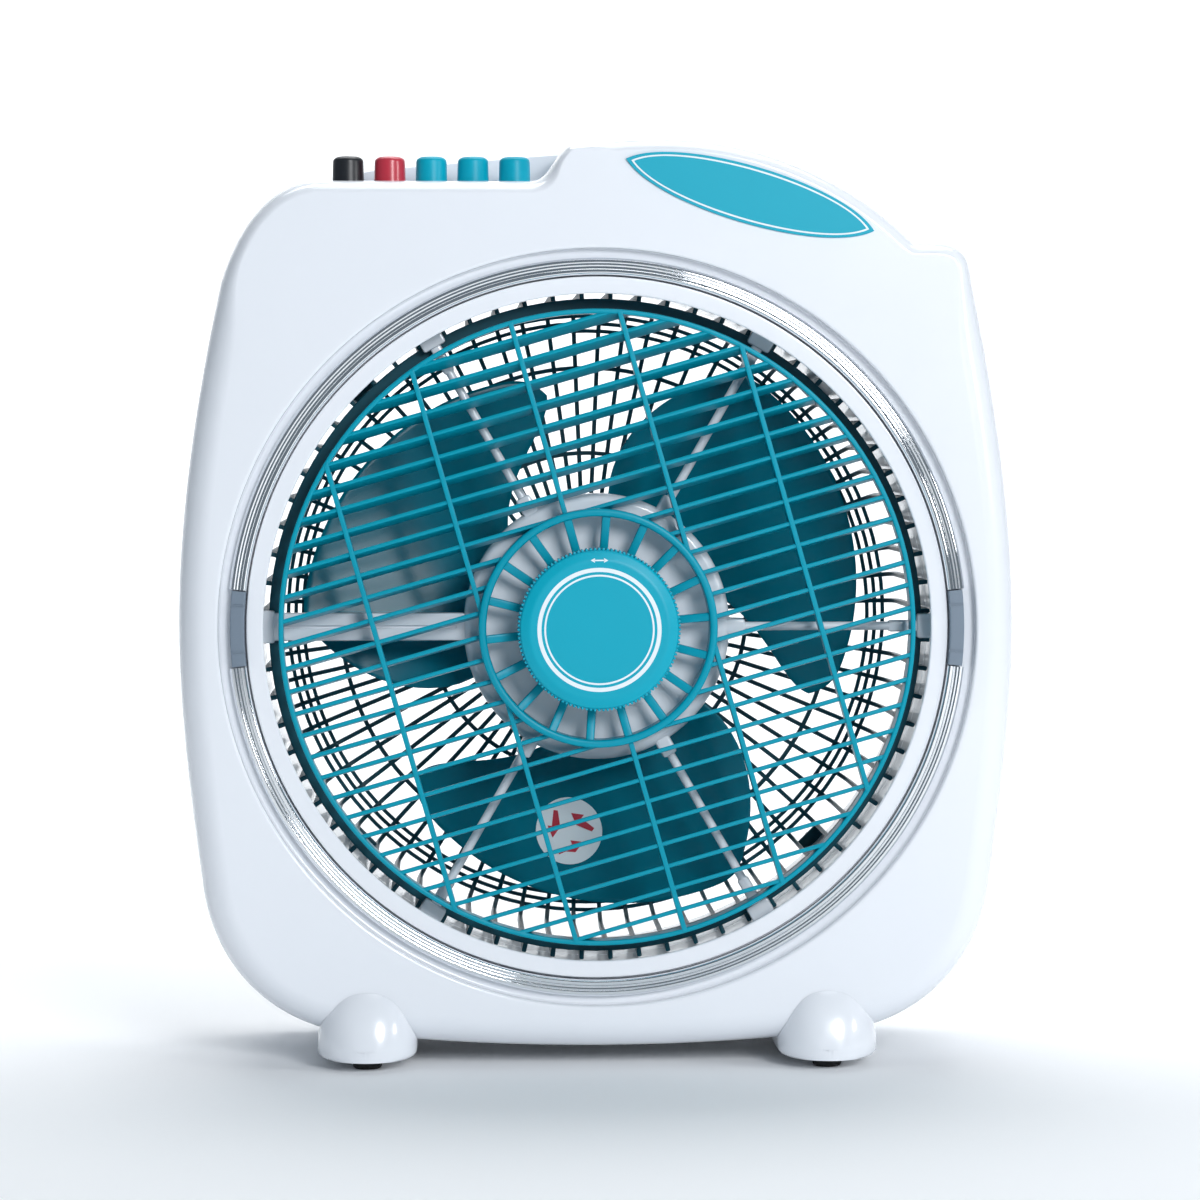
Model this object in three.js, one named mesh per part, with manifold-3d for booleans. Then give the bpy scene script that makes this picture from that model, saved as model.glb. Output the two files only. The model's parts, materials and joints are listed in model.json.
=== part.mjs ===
// A 10 inch box fan with a rotating louvre, in millimetres.
// +Z is up and the fan blows towards -Y. The origin is on the floor, at the middle of the fan's footprint.

import * as THREE from 'three';
import { mergeVertices } from 'three/addons/utils/BufferGeometryUtils.js';
import Module from 'manifold-3d';

const wasm = await Module();
wasm.setup();

// ---------------------------------------------------------------------------
// Driving dimensions
// ---------------------------------------------------------------------------

// Whole fan
const BODY_WIDTH = 368;            // across the widest part of the barrel sides
const BODY_TOP = 409;              // top of the handle hump above the floor
const OVERALL_DEPTH = 170;         // knob face to the back of the rear grille
const AXIS_HEIGHT = 194;           // fan axis above the floor
const GAP = 0.3;                   // between pieces that touch

// Moulded body
const WALL = 2.4;                  // thickness of the moulded shells
const KNOB_STAND = 13;             // how far the knob stands out of the front face
const FRONT_DEPTH = 62;            // front housing, face to parting line
const REAR_DEPTH = 66;             // rear housing, parting line to back face
const FRONT_EDGE = 7.5;            // rounding of the front housing's edge
const REAR_EDGE = 7.5;             // rounding of the rear housing's edge
const BELLY = 8.75;                // underside of the body at the middle, above the floor
const CURVE_STEPS = 4;             // steps in each curve of the body outline

// Button ledge and carry handle
const LEDGE_DROP = 19;             // ledge below the top of the hump
const LEDGE_END = -124;            // outer end of the ledge
const LEDGE_LENGTH = 95;
const POCKET_LENGTH = 100;         // finger pocket under the hump, open to the back
const POCKET_HEIGHT = 28;
const POCKET_DEPTH = 34;
const POCKET_CENTRE = 35;
const POCKET_BELOW_TOP = 21;       // roof of the pocket below the top of the hump

// Air duct, trim and louvre
const DUCT_BORE = 151.5;           // inside radius of the air duct
const DUCT_WALL = 2.5;
const LIP_BORE = 146.5;            // inside radius of the duct's front lip
const LIP_SET_BACK = 3;            // lip behind the front face
const TRIM_WIDTH = 7.6;            // radial width of the chrome ring
const TRIM_RECESS = 6;             // depth of the recess that holds the ring
const TRIM_MARGIN = 4;             // free strip of recess outside the ring
const CLIP_LENGTH = 35;            // joint blocks between the two halves of the ring
const LOUVRE_RADIUS = 140;
const LOUVRE_RING = 2.2;           // wall of the louvre's outer ring
const LOUVRE_SET_BACK = 4;         // louvre behind the front face
const LOUVRE_DEPTH = 10;
const SLAT_PITCH = 10;
const SLAT_COUNT = 2 * Math.floor((LOUVRE_RADIUS - SLAT_PITCH / 2) / SLAT_PITCH) + 1;
const SLAT_THICKNESS = 1.8;
const SLAT_LEAN_LOW = 7.5;         // degrees, from the lowest slat to the middle one
const SLAT_LEAN_TOP = 25;          // degrees, at the top slat
const SLAT_TURN = 16;              // degrees, how far the louvre has turned from level
const RIB_SPACING = 47.3;
const RIB_COUNT = 5;
const RIB_THICKNESS = 1.8;
const HUB_RING_RADIUS = 52.5;
const HUB_RING_WALL = 3.5;
const HUB_SPOKES = 18;
const SPOKE_WIDTH = 3;

// Knob, its thread insert and the louvre spindle
const KNOB_RADIUS = 35.8;
const KNOB_HEIGHT = 13.5;
const KNOB_WALL = 2.6;
const KNOB_GRIPS = 30;
const GRIP_DEPTH = 0.9;
const INSERT_RADIUS = 8;
const INSERT_CLEARANCE = 0.6;      // round the thread insert, which slides with the thread
const INSERT_LENGTH = 11.7;
const SPINDLE_RADIUS = 3;
const SPINDLE_CLEARANCE = 0.6;
const SPINDLE_FLANGE = 10;

// Louvre bracket and its slow motor
const BRACKET_RADIUS = 59;
const BRACKET_DEPTH = 18;
const ARM_RADIUS = 2;
const WIRE_ARM_HEIGHT = 12.5;
const ARM_CLIP = [9, 7, 12];       // radial, axial and sideways size of each arm's end clip
const ARM_ROOT = [8, 7.5, 7];       // block where an arm leaves the cup
const SLOW_MOTOR_RADIUS = 25;
const SLOW_MOTOR_DEPTH = 12;

// Blade
const BLADE_RADIUS = 131;
const BLADE_COUNT = 3;
const BLADE_THICKNESS = 2.2;
const BLADE_DROP = 31;             // axial distance from the leading to the trailing edge
const BLADE_HUB_RADIUS = 31.5;
const BLADE_HUB_DEPTH = 34;
const BLADE_BEHIND_FACE = 44;      // front of the blade hub behind the front face

// Main motor
const SHAFT_RADIUS = 4;
const MOTOR_RADIUS = 38;
const MOTOR_BEHIND_FACE = 84;      // front of the motor behind the front face
const SHIELD_DEPTH = 15.7;
const STACK_DEPTH = 20;            // laminated core
const STATOR_BORE = 23;
const AIR_GAP = 0.6;
const BEARING_RADIUS = 9;
const BEARING_LENGTH = 8;
const BEARING_INSET = 0.6;         // bush behind the outer face of its shield

// Rear grille
const GRILLE_RADIUS = 149;         // outside of the side ribs
const GRILLE_CORNER = 20;          // outside radius where the ribs turn to the side
const GRILLE_RIBS = 36;            // every second bar of the 72 on the real grille
const GRILLE_BAR = 2;              // width of a rib
const GRILLE_THICKNESS = 3;
const GRILLE_PLATE = 49;           // radius of the motor plate
const GRILLE_MID_RING = 76.5;      // radius of the ring half way out
const GRILLE_RIM_BORE = 141;
const GRILLE_RIM_DEPTH = 4;
const PLATE_SINK = 10;             // motor plate sunk below the ribs
const EAR_WIDTH = 14;
const EAR_REACH = 15;

// Buttons and switch
const BUTTON_FIRST = -109.6;
const BUTTON_PITCH = 18.4;
const BUTTON_RADIUS = 7.15;
const BUTTON_STAND = 12;           // cap above the ledge
const BUTTON_TRAVEL = 4;
const BUTTON_BEHIND_FACE = 32;
const BUTTON_CLEARANCE = 0.6;
const SWITCH_HEIGHT = 24;
const SWITCH_DEPTH = 24;
const SWITCH_BELOW_LEDGE = 16;
const PLUNGER = [6, 3];            // across and along the fan's depth

// Feet
const FOOT_SPACING = 203;
const FOOT_WIDTH = 44;
const FOOT_HEIGHT = 32.4;
const FOOT_LENGTH = 150;
const FOOT_TIP = 13;               // length of each rounded end
const PAD_RADIUS = 6.4;
const PAD_STAND = 3.6;             // pads stand this far out of the feet
const PAD_SINK = 3.3;
const PAD_SPACING = 112;

// Fasteners
const SCREW_HEAD = 3.6;
const SCREW_HEAD_HEIGHT = 2.2;
const SCREW_SHANK = 1.8;
const SCREW_LENGTH = 16;
const BOSS_RADIUS = 5;

// Sides given to round shapes
const WIDE_SIDES = 48;             // duct, rings, openings
const MID_SIDES = 24;              // hub, motor, knob
const FINE_SIDES = 12;             // shafts, caps, pads
const SMALL_SIDES = 8;             // bosses, pilot holes, screws

// ---------------------------------------------------------------------------
// Planes and radii that follow from them
// ---------------------------------------------------------------------------

const KNOB_FACE = -OVERALL_DEPTH / 2;
const BACK = OVERALL_DEPTH / 2;
const FACE = KNOB_FACE + KNOB_STAND;
const PARTING = FACE + FRONT_DEPTH;
const BODY_BACK = PARTING + REAR_DEPTH;
const HALF_WIDTH = BODY_WIDTH / 2;
const LEDGE = BODY_TOP - LEDGE_DROP;
const DUCT_OUTSIDE = DUCT_BORE + DUCT_WALL;
const TRIM_INSIDE = DUCT_OUTSIDE + 2 * GAP;
const TRIM_OUTSIDE = TRIM_INSIDE + TRIM_WIDTH;
const RECESS_RADIUS = TRIM_OUTSIDE + TRIM_MARGIN;
const RECESS_FLOOR = FACE + TRIM_RECESS;
const LOUVRE_FRONT = FACE + LOUVRE_SET_BACK;
const LOUVRE_BACK = LOUVRE_FRONT + LOUVRE_DEPTH;
const HUB_PLATE_FRONT = LOUVRE_FRONT + 1;
const HUB_PLATE_BACK = HUB_PLATE_FRONT + 3.5;
const FLANGE_BACK = HUB_PLATE_BACK + GAP + 2.5;
const BRACKET_FRONT = LOUVRE_BACK + 3.5;
const BRACKET_BACK = BRACKET_FRONT + BRACKET_DEPTH;
const SLOW_MOTOR_FRONT = BRACKET_FRONT + WALL + GAP;
const ARM_Y = BRACKET_FRONT + 4.5;
const RIM_FRONT = ARM_Y + ARM_CLIP[1] / 2 + GAP;
const BLADE_FRONT = FACE + BLADE_BEHIND_FACE;
const MOTOR_FRONT = FACE + MOTOR_BEHIND_FACE;
const STACK_FRONT = MOTOR_FRONT + SHIELD_DEPTH + GAP;
const STACK_BACK = STACK_FRONT + STACK_DEPTH;
const MOTOR_BACK = STACK_BACK + GAP + SHIELD_DEPTH;
const PLATE_BACK = BACK - PLATE_SINK;
const PLATE_FRONT = PLATE_BACK - GRILLE_THICKNESS;
const BUTTON_Y = FACE + BUTTON_BEHIND_FACE;
const SWITCH_TOP = LEDGE - SWITCH_BELOW_LEDGE;
const FOOT_X = FOOT_SPACING / 2;
const EAR_FRONT = BODY_BACK + GAP;
const EAR_SCREW_RADIUS = DUCT_OUTSIDE + BOSS_RADIUS - 0.5;
const PILOT = SCREW_SHANK + GAP;

// Screws that hold the two housings together: the four corners, the belly and the hump.
const HOUSING_SCREWS = [
  [-(HALF_WIDTH - 34), AXIS_HEIGHT - 124],
  [HALF_WIDTH - 34, AXIS_HEIGHT - 124],
  [-(HALF_WIDTH - 44), BODY_TOP - 79],
  [HALF_WIDTH - 44, BODY_TOP - 79],
  [0, BELLY + 15.25],
  [112, BODY_TOP - 47],
];

// ---------------------------------------------------------------------------
// Materials
// ---------------------------------------------------------------------------

function finish(color, roughness, metalness = 0, opacity = 1) {
  return new THREE.MeshStandardMaterial({ color, roughness, metalness, opacity, transparent: opacity < 1 });
}

const WHITE = finish(0xeff5fb, 0.25);
const CHROME = finish(0xd8dde2, 0.08, 1);
const CLIP_GREY = finish(0x8f9ba6, 0.4);
const LOUVRE_TEAL = finish(0x1090b2, 0.35);
const KNOB_TEAL = finish(0x10b6d2, 0.3);
const DARK_TEAL = finish(0x06333f, 0.45);
const BLADE_TEAL = finish(0x0a5c70, 0.15, 0, 0.8);
const STEEL = finish(0xb6bbc0, 0.3, 1);
const LAMINATION = finish(0x5e6166, 0.5, 0.8);
const COPPER = finish(0xb56a3c, 0.4, 0.8);
const BRASS = finish(0xc9a24f, 0.35, 1);
const BRONZE = finish(0x8c6a3f, 0.45, 0.9);
const CAST = finish(0x9aa0a5, 0.5, 0.7);
const BLACK = finish(0x15171a, 0.4);
const RED = finish(0xc43a44, 0.35);
const RUBBER = finish(0x17181a, 0.85);
const CREAM = finish(0xd9d4c4, 0.5);

// ---------------------------------------------------------------------------
// Helpers
// ---------------------------------------------------------------------------

const radians = THREE.MathUtils.degToRad;

// One closed skin: shared corners merged, flat triangles dropped, faces outward.
function closed(geometry) {
  const bare = geometry.clone();
  bare.deleteAttribute('normal');
  bare.deleteAttribute('uv');
  const skin = mergeVertices(bare, 1e-4);
  const corner = [new THREE.Vector3(), new THREE.Vector3(), new THREE.Vector3()];
  const kept = [];
  let volume = 0;
  for (let i = 0; i < skin.index.count; i += 3) {
    const ids = [0, 1, 2].map((step) => skin.index.getX(i + step));
    if (new Set(ids).size < 3) continue;
    ids.forEach((id, n) => corner[n].fromBufferAttribute(skin.attributes.position, id));
    volume += corner[0].dot(corner[1].cross(corner[2]));
    kept.push(ids);
  }
  skin.setIndex(kept.flatMap((ids) => (volume < 0 ? ids.reverse() : ids)));
  return skin;
}

function solid(geometry) {
  const skin = closed(geometry);
  return new wasm.Manifold(new wasm.Mesh({
    numProp: 3,
    vertProperties: new Float32Array(skin.attributes.position.array),
    triVerts: new Uint32Array(skin.index.array),
  }));
}

function geometryOf(body) {
  const mesh = body.getMesh();
  const geometry = new THREE.BufferGeometry();
  geometry.setAttribute('position', new THREE.BufferAttribute(new Float32Array(mesh.vertProperties), 3));
  geometry.setIndex(new THREE.BufferAttribute(new Uint32Array(mesh.triVerts), 1));
  return geometry;
}

function join(first, ...others) {
  return others.reduce((body, other) => body.add(other), first);
}

function cut(first, ...tools) {
  return tools.reduce((body, tool) => body.subtract(tool), first);
}

// A solid of revolution about the Y axis, from a list of [radius, y].
function turned(profile, sides = MID_SIDES) {
  const points = profile.map(([r, y]) => new THREE.Vector2(r, y));
  const endsOnAxis = profile[0][0] === 0 && profile[profile.length - 1][0] === 0;
  if (!endsOnAxis) points.push(points[0].clone());
  return new THREE.LatheGeometry(points, sides);
}

function ring(inside, outside, front, back, sides = WIDE_SIDES) {
  return turned([[inside, front], [outside, front], [outside, back], [inside, back]], sides);
}

// A cylinder along Y.
function rod(radius, front, back, x = 0, z = 0, sides = SMALL_SIDES) {
  return new THREE.CylinderGeometry(radius, radius, back - front, sides).translate(x, (front + back) / 2, z);
}

function block(x0, x1, y0, y1, z0, z1) {
  return new THREE.BoxGeometry(x1 - x0, y1 - y0, z1 - z0)
    .translate((x0 + x1) / 2, (y0 + y1) / 2, (z0 + z1) / 2);
}

// An XZ outline made solid from front to back.
function slab(shape, front, back, options = {}) {
  const settings = { depth: back - front, bevelEnabled: false, curveSegments: CURVE_STEPS, ...options };
  return new THREE.ExtrudeGeometry(shape, settings).rotateX(Math.PI / 2).translate(0, back, 0);
}

// A slab with both edges rounded, drawn in from the outline by inset.
function pillow(shape, front, back, round, inset = 0, steps = 3) {
  return slab(shape, front + round, back - round, {
    bevelEnabled: true,
    bevelThickness: round,
    bevelSize: round,
    bevelOffset: -(round + inset),
    bevelSegments: steps,
  });
}

function behind(y) {
  return solid(block(-1000, 1000, y, 2000, -1000, 1000));
}

function ahead(y) {
  return solid(block(-1000, 1000, -2000, y, -1000, 1000));
}

const fan = new THREE.Group();
const onAxis = new THREE.Group();
onAxis.position.z = AXIS_HEIGHT;
const louvre = new THREE.Group();
louvre.rotation.y = -radians(SLAT_TURN);
fan.add(onAxis);
onAxis.add(louvre);

function add(group, name, shape, material) {
  const geometry = shape instanceof wasm.Manifold ? geometryOf(shape) : closed(shape);
  geometry.computeVertexNormals();
  const mesh = new THREE.Mesh(geometry, material);
  mesh.name = name;
  group.add(mesh);
  return mesh;
}

// ---------------------------------------------------------------------------
// Body outline
// ---------------------------------------------------------------------------

// The barrel-sided outline. With the ledge it is the front housing's; without it the top runs on
// behind the buttons to the handle, as the rear housing's does.
function bodyOutline(withLedge) {
  const w = HALF_WIDTH;
  const mid = AXIS_HEIGHT + 1;
  const top = BODY_TOP;
  const low = BELLY;
  const shape = new THREE.Shape();
  shape.moveTo(-(w - 72), low + 6.25);
  shape.quadraticCurveTo(0, low - 6.25, w - 72, low + 6.25);
  shape.bezierCurveTo(w - 44, low + 11, w - 17, low + 31, w - 10.5, low + 69);
  shape.bezierCurveTo(w - 7, low + 96, w, mid - 45, w, mid);
  shape.bezierCurveTo(w, mid + 50, w - 9, top - 109, w - 19, top - 62);
  shape.bezierCurveTo(w - 20, top - 51, w - 24, top - 45.3, w - 37, top - 45.2);
  shape.lineTo(w - 45.5, top - 45.2);
  shape.bezierCurveTo(w - 69, top - 21, 75, top, 29, top);
  shape.bezierCurveTo(15, top, 5, top - 0.8, -12.5, top - 3.2);
  if (withLedge) {
    const inner = LEDGE_END + LEDGE_LENGTH;
    shape.bezierCurveTo(-19, top - 7, inner + 8, LEDGE + 0.3, inner, LEDGE);
    shape.lineTo(LEDGE_END, LEDGE);
  } else {
    shape.bezierCurveTo(-45, top - 6, -75, top - 8.5, -100, top - 11);
    shape.quadraticCurveTo(-112, top - 13, LEDGE_END, LEDGE);
  }
  shape.bezierCurveTo(LEDGE_END - 21, LEDGE - 2, -(w - 26), top - 41, -(w - 19), top - 64);
  shape.bezierCurveTo(-(w - 9), top - 109, -w, mid + 50, -w, mid);
  shape.bezierCurveTo(-w, mid - 45, -(w - 7), low + 96, -(w - 10.5), low + 69);
  shape.bezierCurveTo(-(w - 17), low + 31, -(w - 44), low + 11, -(w - 72), low + 6.25);
  return shape;
}

const frontOutline = bodyOutline(true);
const rearOutline = bodyOutline(false);

function buttonX(index) {
  return BUTTON_FIRST + index * BUTTON_PITCH;
}

// ---------------------------------------------------------------------------
// Housings
// ---------------------------------------------------------------------------

const SWITCH_LEFT = buttonX(0) - BUTTON_PITCH / 2 - 2;
const SWITCH_RIGHT = buttonX(4) + BUTTON_PITCH / 2 + 2;
const EAR_SIZE = 9;
const SWITCH_EAR_Z = SWITCH_TOP - 11;
const SWITCH_FRONT = BUTTON_Y - SWITCH_DEPTH / 2;
const SWITCH_SCREWS = [SWITCH_LEFT - EAR_SIZE / 2, SWITCH_RIGHT + EAR_SIZE / 2];

function vertical(radius, low, high, x, y, sides = FINE_SIDES) {
  return new THREE.CylinderGeometry(radius, radius, high - low, sides)
    .rotateX(Math.PI / 2)
    .translate(x, y, (low + high) / 2);
}

function frontHousing() {
  const shell = cut(
    solid(pillow(frontOutline, FACE, PARTING + 20, FRONT_EDGE)),
    behind(PARTING),
    solid(pillow(frontOutline, FACE + WALL, PARTING + 40, FRONT_EDGE - WALL, WALL, 1)),
  );
  const recessWall = solid(ring(DUCT_OUTSIDE + GAP, RECESS_RADIUS + WALL, FACE, RECESS_FLOOR + WALL)
    .translate(0, 0, AXIS_HEIGHT));
  const opening = solid(rod(DUCT_OUTSIDE + GAP, FACE - 5, PARTING, 0, AXIS_HEIGHT, WIDE_SIDES));
  const recess = solid(rod(RECESS_RADIUS, FACE - 5, RECESS_FLOOR, 0, AXIS_HEIGHT, WIDE_SIDES));
  const bosses = HOUSING_SCREWS.map(([x, z]) => solid(rod(BOSS_RADIUS, FACE + 1, PARTING, x, z)));
  const pilots = HOUSING_SCREWS.map(([x, z]) => solid(rod(PILOT, PARTING - 18, PARTING + 1, x, z)));
  const switchBosses = SWITCH_SCREWS.map((x) => (
    solid(rod(BOSS_RADIUS - 1, FACE + 1, SWITCH_FRONT - GAP, x, SWITCH_EAR_Z))));
  const switchPilots = SWITCH_SCREWS.map((x) => (
    solid(rod(PILOT, SWITCH_FRONT - SCREW_LENGTH, SWITCH_FRONT + 1, x, SWITCH_EAR_Z))));
  const holes = [0, 1, 2, 3, 4].map((i) => (
    solid(vertical(BUTTON_RADIUS + BUTTON_CLEARANCE, LEDGE - 8, LEDGE + 8, buttonX(i), BUTTON_Y))));
  const body = join(shell, recessWall, ...bosses, ...switchBosses);
  return cut(body, opening, recess, ...pilots, ...switchPilots, ...holes);
}

const POCKET_ROOF = BODY_TOP - POCKET_BELOW_TOP;
const POCKET_X = [POCKET_CENTRE - POCKET_LENGTH / 2, POCKET_CENTRE + POCKET_LENGTH / 2];
const GLAND_X = HALF_WIDTH - 56;
const GLAND_Z = AXIS_HEIGHT - 146;
const GLAND_RADIUS = 6;

function earPlace(index) {
  const angle = radians(45 + 90 * index);
  return [EAR_SCREW_RADIUS * Math.cos(angle), EAR_SCREW_RADIUS * Math.sin(angle)];
}

const EARS = [0, 1, 2, 3];
const SLEEVE_RADIUS = SCREW_HEAD + 0.8 + 2.1;
const SCREW_SEAT = PARTING + GAP + 5.7;

function rearHousing() {
  const front = PARTING + GAP;
  const shell = cut(
    solid(pillow(rearOutline, front - 40, BODY_BACK, REAR_EDGE)),
    ahead(front),
    solid(pillow(frontOutline, front - 60, BODY_BACK - WALL, REAR_EDGE - WALL, WALL, 1)),
  );
  const duct = solid(ring(DUCT_BORE, DUCT_OUTSIDE, front, BODY_BACK - 1).translate(0, 0, AXIS_HEIGHT));
  const sleeves = HOUSING_SCREWS.map(([x, z]) => solid(rod(SLEEVE_RADIUS, front, BODY_BACK - 1, x, z)));
  const wells = HOUSING_SCREWS.map(([x, z]) => solid(rod(SCREW_HEAD + 0.8, SCREW_SEAT, BODY_BACK + 5, x, z)));
  const shanks = HOUSING_SCREWS.map(([x, z]) => solid(rod(PILOT + 0.1, front - 5, SCREW_SEAT + 1, x, z)));
  const earBosses = EARS.map(earPlace).map(([x, z]) => (
    solid(rod(BOSS_RADIUS, BODY_BACK - 18, BODY_BACK - 1, x, z + AXIS_HEIGHT))));
  const earPilots = EARS.map(earPlace).map(([x, z]) => (
    solid(rod(PILOT, BODY_BACK - 15, BODY_BACK + 1, x, z + AXIS_HEIGHT))));
  const [left, right] = POCKET_X;
  const floor = POCKET_ROOF - POCKET_HEIGHT;
  const inner = BODY_BACK - POCKET_DEPTH;
  const pocketWall = solid(block(left - WALL, right + WALL, inner - WALL, BODY_BACK - 1,
    floor - WALL, POCKET_ROOF + WALL));
  const pocket = solid(block(left, right, inner, BODY_BACK + 5, floor, POCKET_ROOF));
  const opening = solid(rod(DUCT_BORE, front - 5, BODY_BACK + 5, 0, AXIS_HEIGHT, WIDE_SIDES));
  const glandHole = solid(rod(GLAND_RADIUS + GAP, BODY_BACK - 9, BODY_BACK + 5, GLAND_X, GLAND_Z,
    FINE_SIDES));
  const body = join(shell, duct, ...sleeves, ...earBosses, pocketWall);
  return cut(body, opening, pocket, glandHole, ...wells, ...shanks, ...earPilots);
}

add(fan, 'front_housing', frontHousing(), WHITE);
add(fan, 'rear_housing', rearHousing(), WHITE);

// ---------------------------------------------------------------------------
// Air duct, chrome ring and its joint blocks
// ---------------------------------------------------------------------------

const LIP_FRONT = FACE + LIP_SET_BACK;
add(onAxis, 'duct_ring', turned([
  [LIP_BORE, LIP_FRONT],
  [DUCT_OUTSIDE, LIP_FRONT],
  [DUCT_OUTSIDE, PARTING],
  [DUCT_BORE, PARTING],
  [DUCT_BORE, LIP_FRONT + DUCT_WALL],
  [LIP_BORE, LIP_FRONT + DUCT_WALL],
], WIDE_SIDES), WHITE);

const trimBack = RECESS_FLOOR - GAP;
const trimMiddle = (TRIM_INSIDE + TRIM_OUTSIDE) / 2;
const trimRing = solid(turned([
  [TRIM_INSIDE, trimBack],
  [TRIM_INSIDE, trimBack - 3.4],
  [trimMiddle - 1, trimBack - 5.4],
  [TRIM_OUTSIDE, trimBack - 2.4],
  [TRIM_OUTSIDE, trimBack],
], WIDE_SIDES));

function strip(half) {
  return solid(block(-400, 400, FACE - 5, PARTING, -half, half));
}

function halfSpace(sign) {
  const [low, high] = sign > 0 ? [0, 400] : [-400, 0];
  return solid(block(-400, 400, FACE - 5, PARTING, low, high));
}

function sideSpace(sign) {
  const [low, high] = sign > 0 ? [0, 400] : [-400, 0];
  return solid(block(low, high, FACE - 5, PARTING, -400, 400));
}

const clipRing = solid(ring(TRIM_INSIDE, TRIM_OUTSIDE + 1.2, trimBack - 5, trimBack));
const clipBand = clipRing.intersect(strip(CLIP_LENGTH / 2 - GAP));
add(onAxis, 'trim_ring_upper', trimRing.subtract(strip(CLIP_LENGTH / 2)).intersect(halfSpace(1)), CHROME);
add(onAxis, 'trim_ring_lower', trimRing.subtract(strip(CLIP_LENGTH / 2)).intersect(halfSpace(-1)), CHROME);
add(onAxis, 'trim_clip_left', clipBand.intersect(sideSpace(-1)), CLIP_GREY);
add(onAxis, 'trim_clip_right', clipBand.intersect(sideSpace(1)), CLIP_GREY);

// ---------------------------------------------------------------------------
// Louvre: slats that lean more towards the top, five ribs, two rings, hub spokes
// ---------------------------------------------------------------------------

function louvreGrille() {
  const slatDepth = LOUVRE_DEPTH - 0.6;
  const middle = (LOUVRE_FRONT + LOUVRE_BACK) / 2;
  const reach = LOUVRE_RADIUS - LOUVRE_RING / 2;
  const hubReach = HUB_RING_RADIUS - HUB_RING_WALL / 2;
  const slats = [];
  for (let i = 0; i < SLAT_COUNT; i += 1) {
    const offset = (i - (SLAT_COUNT - 1) / 2) * SLAT_PITCH;
    const rise = Math.max(0, offset) / LOUVRE_RADIUS;
    const lean = SLAT_LEAN_LOW + (SLAT_LEAN_TOP - SLAT_LEAN_LOW) * rise;
    const half = Math.sqrt(LOUVRE_RADIUS ** 2 - Math.max(0, Math.abs(offset) - SLAT_PITCH / 2) ** 2);
    slats.push(solid(new THREE.BoxGeometry(2 * half, slatDepth, SLAT_THICKNESS)
      .rotateX(-radians(lean))
      .translate(0, middle, offset)));
  }
  const ribs = [];
  for (let i = 0; i < RIB_COUNT; i += 1) {
    const x = (i - (RIB_COUNT - 1) / 2) * RIB_SPACING;
    ribs.push(solid(block(x - RIB_THICKNESS / 2, x + RIB_THICKNESS / 2, LOUVRE_FRONT - 0.3, LOUVRE_BACK - 1,
      -LOUVRE_RADIUS, LOUVRE_RADIUS)));
  }
  const disc = solid(rod(reach, LOUVRE_FRONT - 5, LOUVRE_BACK + 5, 0, 0, WIDE_SIDES));
  const hubDisc = solid(rod(hubReach, LOUVRE_FRONT - 5, LOUVRE_BACK + 5, 0, 0, MID_SIDES));
  const field = join(slats[0], ...slats.slice(1), ...ribs).intersect(disc).subtract(hubDisc);
  const outerRing = solid(ring(LOUVRE_RADIUS - LOUVRE_RING, LOUVRE_RADIUS, LOUVRE_FRONT, LOUVRE_BACK));
  const hubRing = solid(ring(HUB_RING_RADIUS - HUB_RING_WALL, HUB_RING_RADIUS,
    LOUVRE_FRONT - 4, LOUVRE_BACK - 1, MID_SIDES));
  const plate = solid(ring(SPINDLE_RADIUS + 0.4, KNOB_RADIUS - 2, HUB_PLATE_FRONT, HUB_PLATE_BACK,
    FINE_SIDES));
  const spokeIn = KNOB_RADIUS - 4;
  const spokeLength = hubReach - spokeIn;
  const spokes = [];
  for (let i = 0; i < HUB_SPOKES; i += 1) {
    spokes.push(solid(new THREE.BoxGeometry(spokeLength, 3, SPOKE_WIDTH)
      .rotateZ(-radians(12))
      .translate(spokeIn + spokeLength / 2, HUB_PLATE_FRONT, 0)
      .rotateY(-radians(i * (360 / HUB_SPOKES) + 5.8 - SLAT_TURN))));
  }
  return join(field, outerRing, hubRing, plate, ...spokes);
}

add(louvre, 'louvre_grille', louvreGrille(), LOUVRE_TEAL);

// ---------------------------------------------------------------------------
// Knob, thread insert and spindle
// ---------------------------------------------------------------------------

const insertFront = HUB_PLATE_FRONT - GAP - INSERT_LENGTH;
const knobBack = KNOB_FACE + KNOB_HEIGHT;

function knobCap() {
  const outline = new THREE.Shape();
  for (let i = 0; i < 2 * KNOB_GRIPS; i += 1) {
    const angle = (i / KNOB_GRIPS) * Math.PI;
    const radius = KNOB_RADIUS - (i % 2) * GRIP_DEPTH;
    const point = [radius * Math.cos(angle), radius * Math.sin(angle)];
    if (i === 0) outline.moveTo(...point);
    else outline.lineTo(...point);
  }
  outline.closePath();
  const grip = solid(slab(outline, KNOB_FACE + 1.5, knobBack));
  const crown = solid(turned([
    [0, KNOB_FACE],
    [KNOB_RADIUS - 3, KNOB_FACE],
    [KNOB_RADIUS - 1, KNOB_FACE + 2],
    [0, KNOB_FACE + 2],
  ]));
  const socketRadius = INSERT_RADIUS + INSERT_CLEARANCE;
  const hollow = solid(ring(socketRadius + KNOB_WALL, KNOB_RADIUS - GRIP_DEPTH - KNOB_WALL,
    KNOB_FACE + 4, knobBack + 5, FINE_SIDES));
  const socket = solid(rod(socketRadius, insertFront - GAP, knobBack + 5, 0, 0, FINE_SIDES));
  return cut(join(grip, crown), hollow, socket);
}

add(onAxis, 'knob_cap', knobCap(), KNOB_TEAL);
add(onAxis, 'knob_insert',
  ring(SPINDLE_RADIUS + GAP, INSERT_RADIUS, insertFront, HUB_PLATE_FRONT - GAP, FINE_SIDES), BRASS);

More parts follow.
